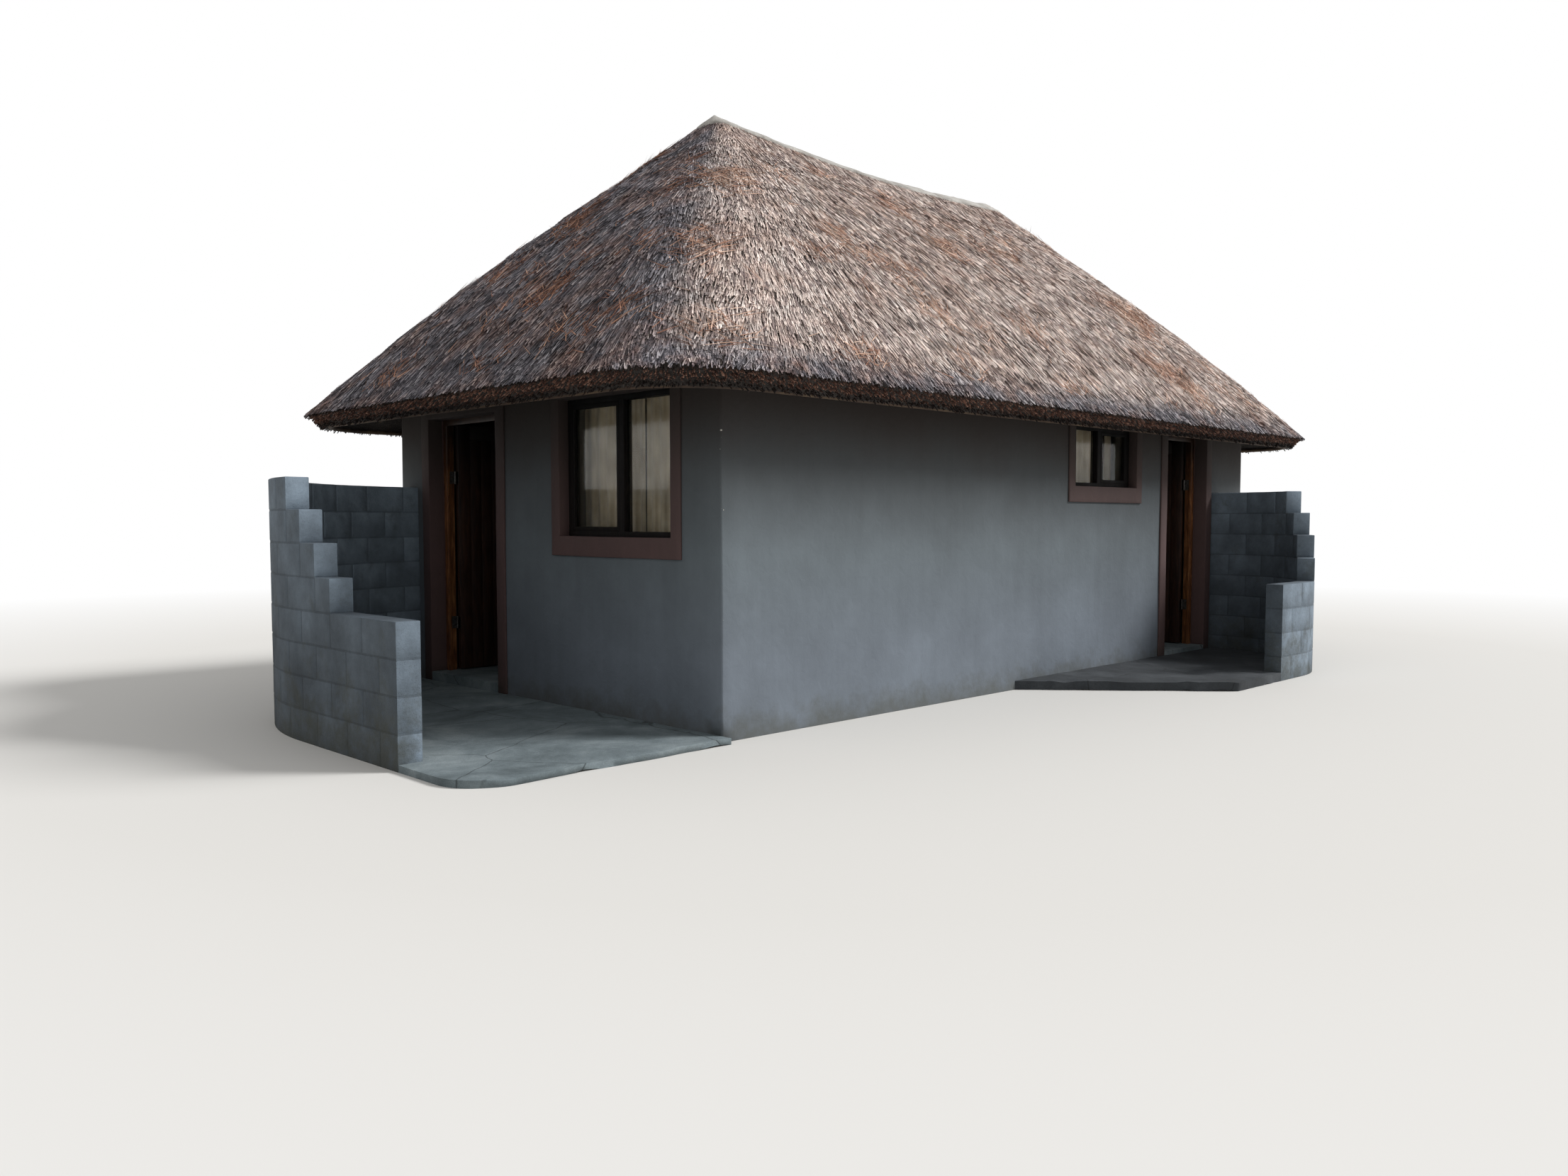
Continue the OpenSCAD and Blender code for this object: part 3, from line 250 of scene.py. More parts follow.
def block_paint(name):
    """Water paint on cast concrete blocks: pitted and patchy, earthy near the ground, painted light on
    sunward faces.
    """
    material, add, shader, place = new_material(name)
    height = add("SeparateXYZ", {"Vector": place}).outputs["Z"]
    clouds = add("TexNoise", {"Vector": place, "Scale": 2.6, "Detail": 6.0, "Roughness": 0.65})
    shade = add("ValToRGB", {"Fac": clouds}, [(0.30, "#4B545C"), (0.50, "#606B75"), (0.72, "#76838F")])
    # Each block took the paint a little differently
    tone = add("Attribute", attribute_name="tone").outputs["Fac"]
    tone_shade = add("ValToRGB", {"Fac": tone}, [(0.0, 0.72), (0.40, 0.94), (1.0, 1.07)])
    # Darker below a metre, and painted light: paler where a face looks toward the sun
    level = add("MapRange", {"Value": height, "From Min": 0.55, "From Max": 1.35, "To Min": 0.58})
    normal = add("NewGeometry").outputs["Normal"]
    facing = add("VectorMath", {0: normal, 1: (0.0, -0.9, 0.45)}, operation="DOT_PRODUCT")
    sunlit = add("MapRange", {"Value": facing, "From Min": 0.35, "From Max": 0.90, "To Max": 0.75})
    height_and_sunlit = add("Math", {0: level, 1: sunlit})
    both = add("Math", {0: height_and_sunlit, 1: tone_shade}, operation="MULTIPLY")
    toned = add("Mix", {"Factor": 1.0, "A": shade, "B": both}, **MULTIPLY)
    # Green-brown dirt in patches 200 mm across, most of it near the ground
    patches = add("TexNoise", {"Vector": place, "Scale": 4.5, "Detail": 8.0, "Roughness": 0.72})
    low = add("MapRange", {"Value": height, "From Max": 0.55, "To Min": 0.26, "To Max": 0.0})
    wet = add("Math", {0: patches, 1: low})
    wet_mask = add("MapRange", {"Value": wet, "From Min": 0.56, "From Max": 0.78, "To Max": 0.65})
    stained = add("Mix", {"Factor": wet_mask, "A": toned, "B": "#3E3F34"}, **BLEND)
    # Pores up to 5 mm across in the cast face
    pores = add("TexVoronoi", {"Vector": place, "Scale": 130.0})
    pits = add("MapRange", {"Value": pores, "From Min": 0.10, "From Max": 0.32, "To Min": 0.55})
    pitted = add("Mix", {"Factor": 0.5, "A": stained, "B": pits}, **MULTIPLY)
    lumps = add("TexNoise", {"Vector": place, "Scale": 45.0, "Detail": 6.0, "Roughness": 0.7})
    relief = add("Math", {0: pits, 1: 0.4, 2: lumps}, **SCALED_SUM)
    bump = add("Bump", {"Height": relief, "Strength": 0.8, "Distance": 0.006})
    fill(shader, {"Base Color": pitted, "Roughness": 0.92, "Normal": bump})
    return material


def worn_concrete(name, dark, mid, pale):
    """Steel-floated concrete, walked on for years: dusty, with damp patches, hair cracks and sand."""
    material, add, shader, place = new_material(name)
    clouds = add("TexNoise", {"Vector": place, "Scale": 1.9, "Detail": 9.0, "Roughness": 0.68,
                            "Distortion": 0.4})
    shade = add("ValToRGB", {"Fac": clouds}, [(0.30, dark), (0.50, mid), (0.70, pale)])
    # Sand of 6 mm, coarser than real so that it shows
    grit = add("TexNoise", {"Vector": place, "Scale": 160.0, "Detail": 3.0})
    grit_shade = add("MapRange", {"Value": grit, "From Min": 0.3, "From Max": 0.7,
                                  "To Min": 0.84, "To Max": 1.12})
    gritty = add("Mix", {"Factor": 1.0, "A": shade, "B": grit_shade}, **MULTIPLY)
    # Hair cracks 0.8 m apart
    warp = add("TexNoise", {"Vector": place, "Scale": 3.0, "Detail": 5.0})
    warped = add("Mix", {"Factor": 0.10, "A": place, "B": warp.outputs["Color"]}, data_type="VECTOR")
    cracks = add("TexVoronoi", {"Vector": warped, "Scale": 1.2}, feature="DISTANCE_TO_EDGE")
    crack_line = add("MapRange", {"Value": cracks, "From Min": 0.0015, "From Max": 0.006, "To Min": 0.45})
    cracked = add("Mix", {"Factor": 1.0, "A": gritty, "B": crack_line}, **MULTIPLY)
    dips = add("TexNoise", {"Vector": place, "Scale": 24.0, "Detail": 7.0, "Roughness": 0.7})
    relief = add("Math", {0: crack_line, 1: 0.5, 2: dips}, **SCALED_SUM)
    bump = add("Bump", {"Height": relief, "Strength": 0.7, "Distance": 0.006})
    fill(shader, {"Base Color": cracked, "Roughness": 0.88, "Normal": bump})
    return material


def straw_stems(name, sunlit, shade_side, rust, spread):
    """Thatching grass left out for years, rusty in patches, with painted light and shade: pale sunlit, grey
    shaded.
    """
    material, add, shader, place = new_material(name)
    tone = add("Attribute", attribute_name="tone").outputs["Fac"]
    fibre = add("Attribute", attribute_name="fibre").outputs["Vector"]
    # Fibres 2 mm wide and 200 mm long, different on each stem
    apart = add("Math", {0: tone, 1: 90.0}, operation="MULTIPLY")
    thin = add("Mapping", {"Vector": fibre, "Scale": (420.0, 420.0, 5.0), "Location": apart})
    fibres = add("TexNoise", {"Vector": thin, "Scale": 1.0, "Detail": 2.0})
    mixed_tone = add("Mix", {"Factor": 0.32, "A": tone, "B": fibres}, data_type="FLOAT")
    places = (0.08, 0.30, 0.52, 0.72, 0.92)
    shaded_ramp, sunlit_ramp, rusted = (add("ValToRGB", {"Fac": mixed_tone}, list(zip(places, shades)))
                              for shades in (shade_side, sunlit, rust))
    # Painted light and shade: the sunlit and the shaded colours run into each other with a ragged edge
    ragged = add("TexNoise", {"Vector": place, "Scale": 2.2, "Detail": 6.0, "Roughness": 0.7})
    sunlit_share = add("Attribute", attribute_name="sunlit_share").outputs["Fac"]
    ragged_sunlit_share = add("Math", {0: ragged, 1: 0.9, 2: sunlit_share}, **SCALED_SUM)
    sun_mask = add("MapRange", {"Value": ragged_sunlit_share, "From Min": 0.60, "From Max": 1.30})
    stems = add("Mix", {"Factor": sun_mask, "A": shaded_ramp, "B": sunlit_ramp}, **BLEND)
    # Rust lies in patches about 400 mm across
    patches = add("TexNoise", {"Vector": place, "Scale": 2.4, "Detail": 8.0, "Roughness": 0.74})
    rust_mask = add("MapRange", {"Value": patches, "From Min": 0.46, "From Max": 0.68, "To Min": 0.06,
                                 "To Max": spread})
    mixed = add("Mix", {"Factor": rust_mask, "A": stems, "B": rusted}, **BLEND)
    # Tufts about 125 mm across take the light differently
    tufts = add("TexNoise", {"Vector": place, "Scale": 8.0, "Detail": 6.0, "Roughness": 0.7})
    tuft = add("MapRange", {"Value": tufts, "From Min": 0.36, "From Max": 0.62,
                            "To Min": 0.58, "To Max": 1.14})
    weathered = add("Mix", {"Factor": 1.0, "A": mixed, "B": tuft}, **MULTIPLY)
    # Painted shade: the buried upper end of each stem is darker, under the stems that lie over it
    along = add("SeparateXYZ", {"Vector": fibre}).outputs["Z"]
    buried_shade = add("MapRange", {"Value": along, "From Min": 0.08, "From Max": 0.28,
                            "To Min": 1.0, "To Max": 0.60})
    buried_shaded = add("Mix", {"Factor": 1.0, "A": weathered, "B": buried_shade}, **MULTIPLY)
    fill(shader, {"Base Color": buried_shaded, "Roughness": 0.75, "Specular IOR Level": 0.35})
    return material


def packed_thatch(name):
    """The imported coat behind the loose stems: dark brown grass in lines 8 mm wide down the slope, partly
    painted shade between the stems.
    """
    material, add, shader, place = new_material(name)
    along = add("Mapping", {"Vector": place, "Scale": (120.0, 120.0, 9.0)})
    lines = add("TexNoise", {"Vector": along, "Scale": 1.0, "Detail": 4.0})
    clouds = add("TexNoise", {"Vector": place, "Scale": 3.0, "Detail": 6.0})
    both = add("Math", {0: clouds, 1: 0.5, 2: lines}, **SCALED_SUM)
    shade = add("ValToRGB", {"Fac": both}, [(0.50, "#241E1B"), (0.72, "#4A413C"), (0.95, "#7B716A")])
    # The soffit and the cut face are nearly black: smoke and painted shade on faces that look down
    facing = add("SeparateXYZ", {"Vector": add("NewGeometry").outputs["True Normal"]}).outputs["Z"]
    smoke_and_shade = add("MapRange", {"Value": facing, "From Min": -0.2, "From Max": 0.3, "To Min": 0.30})
    smoked_and_shaded = add("Mix", {"Factor": 1.0, "A": shade, "B": smoke_and_shade}, **MULTIPLY)
    bump = add("Bump", {"Height": lines, "Strength": 0.9, "Distance": 0.012})
    fill(shader, {"Base Color": smoked_and_shaded, "Roughness": 0.95, "Normal": bump})
    return material


def cast_cement(name):
    """White cement cast over the ridge by hand: chalky and lumpy, stained grey in patches 200 mm across."""
    material, add, shader, place = new_material(name)
    clouds = add("TexNoise", {"Vector": place, "Scale": 5.0, "Detail": 8.0, "Roughness": 0.7})
    shade = add("ValToRGB", {"Fac": clouds},
                [(0.28, "#67635E"), (0.42, "#98948E"), (0.60, "#B6B3AD"), (0.80, "#C6C3BE")])
    lumps = add("TexNoise", {"Vector": place, "Scale": 30.0, "Detail": 7.0, "Roughness": 0.7})
    bump = add("Bump", {"Height": lumps, "Strength": 0.9, "Distance": 0.010})
    fill(shader, {"Base Color": shade, "Roughness": 0.9, "Normal": bump})
    return material


def stained_timber(name, dark, mid, pale, scale, gloss, shine=0.5):
    """Joinery under tinted varnish: close grain, a soft shine, worn patches, painted shade under the eaves.
    """
    material, add, shader, place = new_material(name)
    along = add("Mapping", {"Vector": place, "Scale": scale})
    grain = add("TexNoise", {"Vector": along, "Scale": 1.0, "Detail": 7.0, "Roughness": 0.6,
                           "Distortion": 0.6})
    shade = add("ValToRGB", {"Fac": grain}, [(0.32, dark), (0.52, mid), (0.72, pale)])
    # Worn patches about 140 mm across
    wear = add("TexNoise", {"Vector": place, "Scale": 7.0, "Detail": 6.0})
    wear_shade = add("MapRange", {"Value": wear, "From Min": 0.3, "From Max": 0.7,
                                  "To Min": 0.82, "To Max": 1.15})
    worn = add("Mix", {"Factor": 1.0, "A": shade, "B": wear_shade}, **MULTIPLY)
    # Each board has its own tone, and all are darker from 1.6 m up: painted shade under the eaves
    tone = add("Attribute", attribute_name="tone").outputs["Fac"]
    board = add("MapRange", {"Value": tone, "To Min": 0.85, "To Max": 1.2})
    height = add("SeparateXYZ", {"Vector": place}).outputs["Z"]
    smoke_and_shade = add("MapRange", {"Value": height, "From Min": 1.55, "From Max": 2.02,
                             "To Min": 1.0, "To Max": 0.12})
    darker = add("Math", {0: board, 1: smoke_and_shade}, operation="MULTIPLY")
    matched = add("Mix", {"Factor": 1.0, "A": worn, "B": darker}, **MULTIPLY)
    rough = add("MapRange", {"Value": wear, "From Min": 0.3, "From Max": 0.7,
                             "To Min": gloss, "To Max": gloss + 0.22})
    bump = add("Bump", {"Height": grain, "Strength": 0.35, "Distance": 0.0015})
    fill(shader, {"Base Color": matched, "Roughness": rough, "Specular IOR Level": shine, "Normal": bump})
    return material


def gum_pole(name):
    """Peeled gum poles: grey-brown, with dark knots 250 mm apart and patches of left bark."""
    material, add, shader, place = new_material(name)
    patches = add("TexNoise", {"Vector": place, "Scale": 6.0, "Detail": 8.0, "Roughness": 0.7})
    shade = add("ValToRGB", {"Fac": patches}, [(0.30, "#241B14"), (0.50, "#46362A"), (0.72, "#65543F")])
    knots = add("TexVoronoi", {"Vector": place, "Scale": 4.0})
    knot_ring = add("MapRange", {"Value": knots, "From Min": 0.04, "From Max": 0.12, "To Min": 0.35})
    knotted = add("Mix", {"Factor": 1.0, "A": shade, "B": knot_ring}, **MULTIPLY)
    bark = add("TexNoise", {"Vector": place, "Scale": 60.0, "Detail": 5.0})
    bump = add("Bump", {"Height": bark, "Strength": 0.6, "Distance": 0.004})
    fill(shader, {"Base Color": knotted, "Roughness": 0.85, "Normal": bump})
    return material


def curtain_cotton(name):
    """Cream cotton: soft and matt, in a plain weave whose threads are drawn 6 mm apart so that they show."""
    material, add, shader, _ = new_material(name)
    cloth = add("UVMap", uv_map="cloth")
    threads = [add("TexWave", {"Vector": cloth, "Scale": 52.0, "Distortion": 0.5}, bands_direction=way)
               for way in "XY"]
    weave = add("Math", {0: threads[0].outputs["Fac"], 1: threads[1].outputs["Fac"]}, operation="MULTIPLY")
    clouds = add("TexNoise", {"Vector": cloth, "Scale": 4.0, "Detail": 5.0})
    shade = add("ValToRGB", {"Fac": clouds}, [(0.35, "#948770"), (0.55, "#B3A68D"), (0.75, "#CBBFA9")])
    bump = add("Bump", {"Height": weave, "Strength": 0.25, "Distance": 0.001})
    fill(shader, {"Base Color": shade, "Roughness": 0.9, "Sheen Weight": 0.2, "Normal": bump})
    return material


def float_glass(name):
    """Clear window glass, slightly dusty: mostly see-through, with a sharp reflection."""
    material, add, shader, place = new_material(name)
    dust = add("TexNoise", {"Vector": place, "Scale": 9.0, "Detail": 6.0})
    rough = add("MapRange", {"Value": dust, "From Min": 0.4, "From Max": 0.8, "To Min": 0.02, "To Max": 0.12})
    fill(shader, {"Base Color": "#DDE6E4", "Roughness": rough, "Transmission Weight": 1.0, "IOR": 1.45,
                  "Alpha": 0.12})
    return material


def dull_steel(name):
    """Zinc-plated steel gone dull, with brown rust in spots."""
    material, add, shader, place = new_material(name)
    spots = add("TexNoise", {"Vector": place, "Scale": 60.0, "Detail": 6.0})
    shade = add("ValToRGB", {"Fac": spots}, [(0.40, "#6F6E6C"), (0.62, "#5A5653"), (0.75, "#5B3F2C")])
    rough = add("MapRange", {"Value": spots, "From Min": 0.4, "From Max": 0.75,
                             "To Min": 0.38, "To Max": 0.75})
    fill(shader, {"Base Color": shade, "Roughness": rough, "Metallic": 0.9})
    return material


# Shared ways of making and finishing a piece

def clamp(share):
    """Keep a share between 0 and 1."""
    return max(0.0, min(1.0, share))


def ease(share):
    """Let a share start and end softly."""
    return share * share * (3 - 2 * share)


def link_object(name, data):
    """Make an object of a mesh, a lamp or a camera and link it to the scene."""
    made = bpy.data.objects.new(name, data)
    bpy.context.scene.collection.objects.link(made)
    return made


def add_piece(name, mesh, body, material, replaces=(), crease=None):
    """Link a mesh as a piece on a body, for some CAD nodes. Edges sharper than crease degrees stay hard."""
    piece = link_object(name, mesh)
    mesh.materials.clear()
    mesh.materials.append(material)
    if crease is not None:
        mesh.shade_smooth()
        mesh.set_sharp_from_angle(angle=math.radians(crease))
    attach(piece, body)
    if replaces:
        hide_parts(*replaces)
    return piece


def mesh_from(name, bm):
    """Turn a bmesh into a mesh and free it."""
    mesh = bpy.data.meshes.new(name)
    bm.normal_update()
    bm.to_mesh(mesh)
    bm.free()
    return mesh


def dress_nodes(material, *names):
    """Give carried-over CAD nodes their finish."""
    for name in names:
        target = NODES[name]
        if not target.material_slots:
            target.data.materials.append(material)
        for place in target.material_slots:
            place.material = material


def merge_flat(bm):
    """Merge loose triangles and make flat faces whole."""
    bmesh.ops.remove_doubles(bm, verts=bm.verts, dist=MERGE)
    bmesh.ops.dissolve_limit(bm, angle_limit=FLAT, verts=bm.verts, edges=bm.edges,
                             use_dissolve_boundaries=False)
    return bm


def merged_copy(name):
    """A bmesh of a CAD node with its flat faces whole."""
    bm = bmesh.new()
    bm.from_mesh(NODES[name].data)
    return merge_flat(bm)


def united_copy(names):
    """A bmesh of touching CAD nodes made into one body."""
    parts = [link_object(name + ".part", mesh_from(name + ".part", merged_copy(name))) for name in names]
    for other in parts[1:]:
        union = parts[0].modifiers.new("union", "BOOLEAN")
        union.operation = "UNION"
        union.solver = "EXACT"
        union.object = other
    ready = parts[0].evaluated_get(bpy.context.evaluated_depsgraph_get())
    bm = bmesh.new()
    bm.from_mesh(ready.to_mesh())
    for part in parts:
        bpy.data.objects.remove(part)
    return merge_flat(bm)


def cut_in_strips(bm, step, axes=(0, 1, 2)):
    """Cut a shape into strips along the axes, so that it can be bent or made uneven."""
    for axis in axes:
        low = min(v.co[axis] for v in bm.verts)
        high = max(v.co[axis] for v in bm.verts)
        count = max(1, math.ceil((high - low) / step))
        normal = Vector([1.0 if i == axis else 0.0 for i in range(3)])
        for i in range(1, count):
            at = low + (high - low) * i / count
            whole = bm.verts[:] + bm.edges[:] + bm.faces[:]
            bmesh.ops.bisect_plane(bm, geom=whole, dist=MERGE, plane_co=normal * at, plane_no=normal)


def split_wide_faces(bm):
    """Cut faces of more than four corners into triangles, because they no longer lie flat."""
    bmesh.ops.triangulate(bm, faces=[f for f in bm.faces if len(f.verts) > 4])


def sharp_edges(bm, degrees=30.0):
    """Edges where the faces of a closed shape meet at more than an angle."""
    return [e for e in bm.edges if len(e.link_faces) == 2 and e.calc_face_angle(0.0) > math.radians(degrees)]


def round_edges(bm, edges, width, segments=2):
    """Round some edges off."""
    bmesh.ops.bevel(bm, geom=edges, offset=width, offset_type="OFFSET", affect="EDGES", segments=segments,
                    profile=0.5, material=-1, clamp_overlap=True)


def round_timber(name, material, rounding):
    """Round the edges of a CAD node's timbers and keep them as a piece."""
    bm = merged_copy(name)
    round_edges(bm, sharp_edges(bm), rounding)
    add_piece(name + "_timber", mesh_from(name, bm), ROOM, material, (name,), crease=40)


def wander(bm, amount, size, shift=0.0, weight=None):
    """Move every corner by smooth noise, as far as weight says for its place."""
    # Without a seed this noise is a different one in every run
    noise.seed_set(1)
    for vert in bm.verts:
        drift = noise.noise_vector(vert.co / size + Vector((shift, shift, shift)))
        vert.co += drift * amount * (weight(vert.co) if weight else 1.0)


def add_box(bm, low, high, rounding):
    """Add a box between two corners, with rounded edges."""
    size = Vector(high) - Vector(low)
    place = Matrix.Translation((Vector(high) + Vector(low)) / 2) @ Matrix.Diagonal((*size, 1.0))
    made = bmesh.ops.create_cube(bm, size=1.0, matrix=place)
    round_edges(bm, list({e for v in made["verts"] for e in v.link_edges}), rounding)


def add_toned_box(bm, low, high, rounding, tone, shade):
    """Add a rounded box whose corners all carry one tone, and return them."""
    before = len(bm.verts)
    add_box(bm, low, high, rounding)
    bm.verts.ensure_lookup_table()
    corners = bm.verts[before:]
    for vert in corners:
        vert[tone] = shade
    return corners


def face_outward(bm):
    """Turn the faces of closed shapes outward."""
    bmesh.ops.recalc_face_normals(bm, faces=bm.faces)


# Roof surface

def coat_plan(side, u, t, cut):
    """Plan point at level t, u of the way along a side. cut runs from the lip (0) to the cut's foot (1)."""
    long_side = side in LONG_SIDES
    half_l = RIDGE_HALF + (EAVE_L - RIDGE_HALF) * t - CUT_IN * cut
    half_w = EAVE_W * t - CUT_IN * cut
    radius = CORNER_R * (1 - clamp(1 - t) ** HIP_FILL) - CUT_IN * cut
    bend = HIP_LONG if long_side else HIP_SHORT
    middle = (half_l if long_side else half_w) - radius
    if bend < u < 1 - bend:
        along = middle * (2 * (u - bend) / (1 - 2 * bend) - 1)
        out = 0.0
    else:
        turn = math.radians(45 + 45 * (0.5 - abs(u - 0.5)) / bend)
        along = math.copysign(middle + radius * math.cos(turn), u - 0.5)
        out = radius * (1 - math.sin(turn))
    point = Vector((along, out - half_w) if long_side else (half_l - out, along))
    return -point if side in ("back", "entrance") else point


def coat_point(side, u, t, cut=0.0):
    """Point of the thatch's surface, or of its cut face below the lip."""
    plan = coat_plan(side, u, t, cut)
    sag = RIDGE_SAG * clamp(1 - t) ** 2 * max(0.0, 1 - (plan.x / RIDGE_HALF) ** 2)
    stand = SHOULDER * clamp(1 - t) ** 3 * min(1.0, t * EAVE_W / CAP_REACH)
    crown = CROWN * math.sin(math.pi * t ** CROWN_LOW)
    straight = THATCH_TOP + (EAVE_Z - THATCH_TOP) * t
    return Vector((plan.x, plan.y, straight + crown + stand - sag - CUT_DROP * cut))


def roof_field(side, low, high, columns, rows, face):
    """A patch of the coat (face top) or of the cut face below the lip (face cut) for stems to grow from.

    Its corners know the way up, straight in a side's middle and fanned at its hips, and their share of
    painted sunlight against painted shade.
    """
    bm = bmesh.new()
    bmesh.ops.create_grid(bm, x_segments=columns, y_segments=rows, size=0.5)
    way_up = bm.verts.layers.float_vector.new("up")
    sunlit_share = bm.verts.layers.float.new("sunlit_share")
    for vert in bm.verts:
        u = vert.co.x + 0.5
        v = low + (high - low) * (0.5 - vert.co.y)
        t = v if face == "top" else 1.0
        above = max(0.0, t - 0.02)
        below = t + 0.02
        straight = (coat_point(side, 0.5, above) - coat_point(side, 0.5, below)).normalized()
        fanned = (coat_point(side, u, above) - coat_point(side, u, below)).normalized()
        off_middle = abs(2 * u - 1)
        # The way up starts to fan a third of the way to a hip
        vert[way_up] = straight.lerp(fanned, ease(clamp((off_middle - 0.35) / 0.5))).normalized()
        vert.co = coat_point(side, u, v) if face == "top" else coat_point(side, u, 1.0, v)
        # Painted light and shade: long sides take the sunlit colours and ends the shaded ones, meeting half
        # way in the last 30% before the hips
        shared = 0.5 * clamp((off_middle - 0.70) / 0.30) ** 2
        vert[sunlit_share] = 1.0 - shared if side in LONG_SIDES else shared
        # Painted shade: the drip edge, the lowest 7% of the slope, takes the shaded colours
        vert[sunlit_share] *= 1.0 - 0.85 * clamp((t - 0.93) / 0.06)
        # Painted shade on the cut face: darkest under the stems' ends and toward the soffit, palest about 40%
        # of the way down
        if face == "cut":
            vert[sunlit_share] = 1.25 * math.sin(math.pi * min(1.0, v / 0.85)) ** 2
    return link_object("field", mesh_from("field", bm))


def stem_group(laid, straw, seed):
    """Geometry nodes that lay tapered stems on a field: blunt end out and downhill, thin end buried."""
    tree = bpy.data.node_groups.new("stems", "GeometryNodeTree")
    for way in ("INPUT", "OUTPUT"):
        tree.interface.new_socket(name="Geometry", in_out=way, socket_type="NodeSocketGeometry")
    add = partial(node, tree)
    place = add("GeometryNodeInputPosition")
    # What is picked for each stem anew
    ranges = {"stray": (-laid["stray"], laid["stray"]), "lift": laid["lift"], "proud": laid["proud"],
              "long": (0.55, 1.4), "wide": (0.6, 1.4), "tone": (0.0, 1.0)}
    pick = {name: add("FunctionNodeRandomValue", {"Min": low, "Max": high, "Seed": seed + number})
            for number, (name, (low, high)) in enumerate(ranges.items(), 1)}
    # Bare and crowded patches
    crowd = add("TexNoise", {"Vector": place, "Scale": 1.7, "Detail": 3.0})
    thick = add("MapRange", {"Value": crowd, "From Min": laid["patch"], "From Max": laid["patch"] + 0.12,
                             "To Min": laid["bare"], "To Max": laid["density"]})
    spread = add("GeometryNodeDistributePointsOnFaces",
                 {"Mesh": add("NodeGroupInput"), "Density": thick, "Seed": seed})
    normal = spread.outputs["Normal"]
    upward = add("GeometryNodeInputNamedAttribute", {"Name": "up"}, data_type="FLOAT_VECTOR")
    sideways = add("VectorMath", {0: normal, 1: upward}, operation="CROSS_PRODUCT")
    inward = add("VectorMath", {0: normal, "Scale": -1.0}, operation="SCALE")
    main, tilt = (inward, upward) if laid["end_on"] else (upward, inward)
    # Tufts lean together, and each stem strays a little more
    tufts = add("TexNoise", {"Vector": place, "Scale": laid["tuft"], "Detail": 3.0})
    lean = add("MapRange", {"Value": tufts, "From Min": 0.3, "From Max": 0.7, "To Min": -laid["lean"],
                            "To Max": laid["lean"]})
    turn = add("Math", {0: lean, 1: pick["stray"]})
    turned = add("VectorMath", {0: sideways, "Scale": turn}, operation="SCALE")
    tilted = add("VectorMath", {0: tilt, "Scale": pick["lift"]}, operation="SCALE")
    swept = add("VectorMath", {0: main, 1: turned})
    aimed = add("VectorMath", {0: swept, 1: tilted})
    heading = add("FunctionNodeAlignRotationToVector", {"Vector": aimed}, axis="Z")
    # One of the stem's three faces lies outward, give or take a little roll
    flat = add("FunctionNodeAlignRotationToVector", {"Rotation": heading, "Vector": inward}, axis="X",
               pivot_axis="Z")
    roll = add("FunctionNodeRandomValue", {"Min": (0.0, 0.0, -0.6), "Max": (0.0, 0.0, 0.6), "Seed": seed + 7},
               data_type="FLOAT_VECTOR")
    rolled = add("FunctionNodeRotateRotation", {"Rotation": flat, "Rotate By": roll}, rotation_space="LOCAL")
    # The outer end stands out by its own amount, by tufts and by the courses in which the grass was laid
    heaps = add("TexNoise", {"Vector": place, "Scale": 2.6, "Detail": 5.0, "Roughness": 0.6})
    heap = add("MapRange", {"Value": heaps, "From Min": 0.3, "From Max": 0.7, "To Max": laid["heap"]})
    height = add("SeparateXYZ", {"Vector": place}).outputs["Z"]
    strayed = add("Math", {0: heaps, 1: 0.5, 2: height}, **SCALED_SUM)
    course = add("Math", {0: strayed, 1: 2 * math.pi / COURSE_RISE}, operation="MULTIPLY")
    ripple = add("Math", {0: course}, operation="SINE")
    ledge = add("Math", {0: ripple, 1: laid["course"]}, operation="MULTIPLY")
    raised = add("Math", {0: pick["proud"], 1: heap})
    total = add("Math", {0: raised, 1: ledge})
    shift = add("VectorMath", {0: normal, "Scale": total}, operation="SCALE")
    moved = add("GeometryNodeSetPosition", {"Geometry": spread, "Offset": shift})
    # One stem: three sides, blunt at the outer end, with the place of each corner kept for its fibres
    stem = add("GeometryNodeMeshCone", {"Vertices": 3, "Radius Top": 0.0, "Radius Bottom": straw["width"] / 2,
                                        "Depth": straw["length"]}, fill_type="NGON")
    marked = add("GeometryNodeStoreNamedAttribute", {"Geometry": stem, "Name": "fibre", "Value": place},
                 data_type="FLOAT_VECTOR", domain="POINT")
    flatter = add("Math", {0: pick["wide"], 1: laid["flat"]}, operation="MULTIPLY")
    size = add("CombineXYZ", {"X": flatter, "Y": pick["wide"], "Z": pick["long"]})
    placed = add("GeometryNodeInstanceOnPoints", {"Points": moved, "Instance": marked, "Rotation": rolled,
                                                  "Scale": size})
    toned = add("GeometryNodeStoreNamedAttribute",
                {"Geometry": placed, "Name": "tone", "Value": pick["tone"]}, domain="INSTANCE")
    add("NodeGroupOutput", {"Geometry": add("GeometryNodeRealizeInstances", {"Geometry": toned})})
    return tree


def lay_stems(name, field, laid, straw, seed, material):
    """Lay stems on a field and keep them as one joined piece."""
    field.modifiers.new("stems", "NODES").node_group = stem_group(laid, straw, seed)
    ready = field.evaluated_get(bpy.context.evaluated_depsgraph_get())
    mesh = bpy.data.meshes.new_from_object(ready)
    mesh.name = name
    bpy.data.objects.remove(field)
    return add_piece(name, mesh, ROOM, material)


# Settings that a user would change

def metres(name, description, default):
    """A length."""
    return bpy.props.FloatProperty(name=name, description=description, default=default, unit="LENGTH")


def colour(name, description, code):
    """A colour, from its sRGB hex code."""
    return bpy.props.FloatVectorProperty(name=name, description=description, default=linear(code),
                                         subtype="COLOR", size=3)


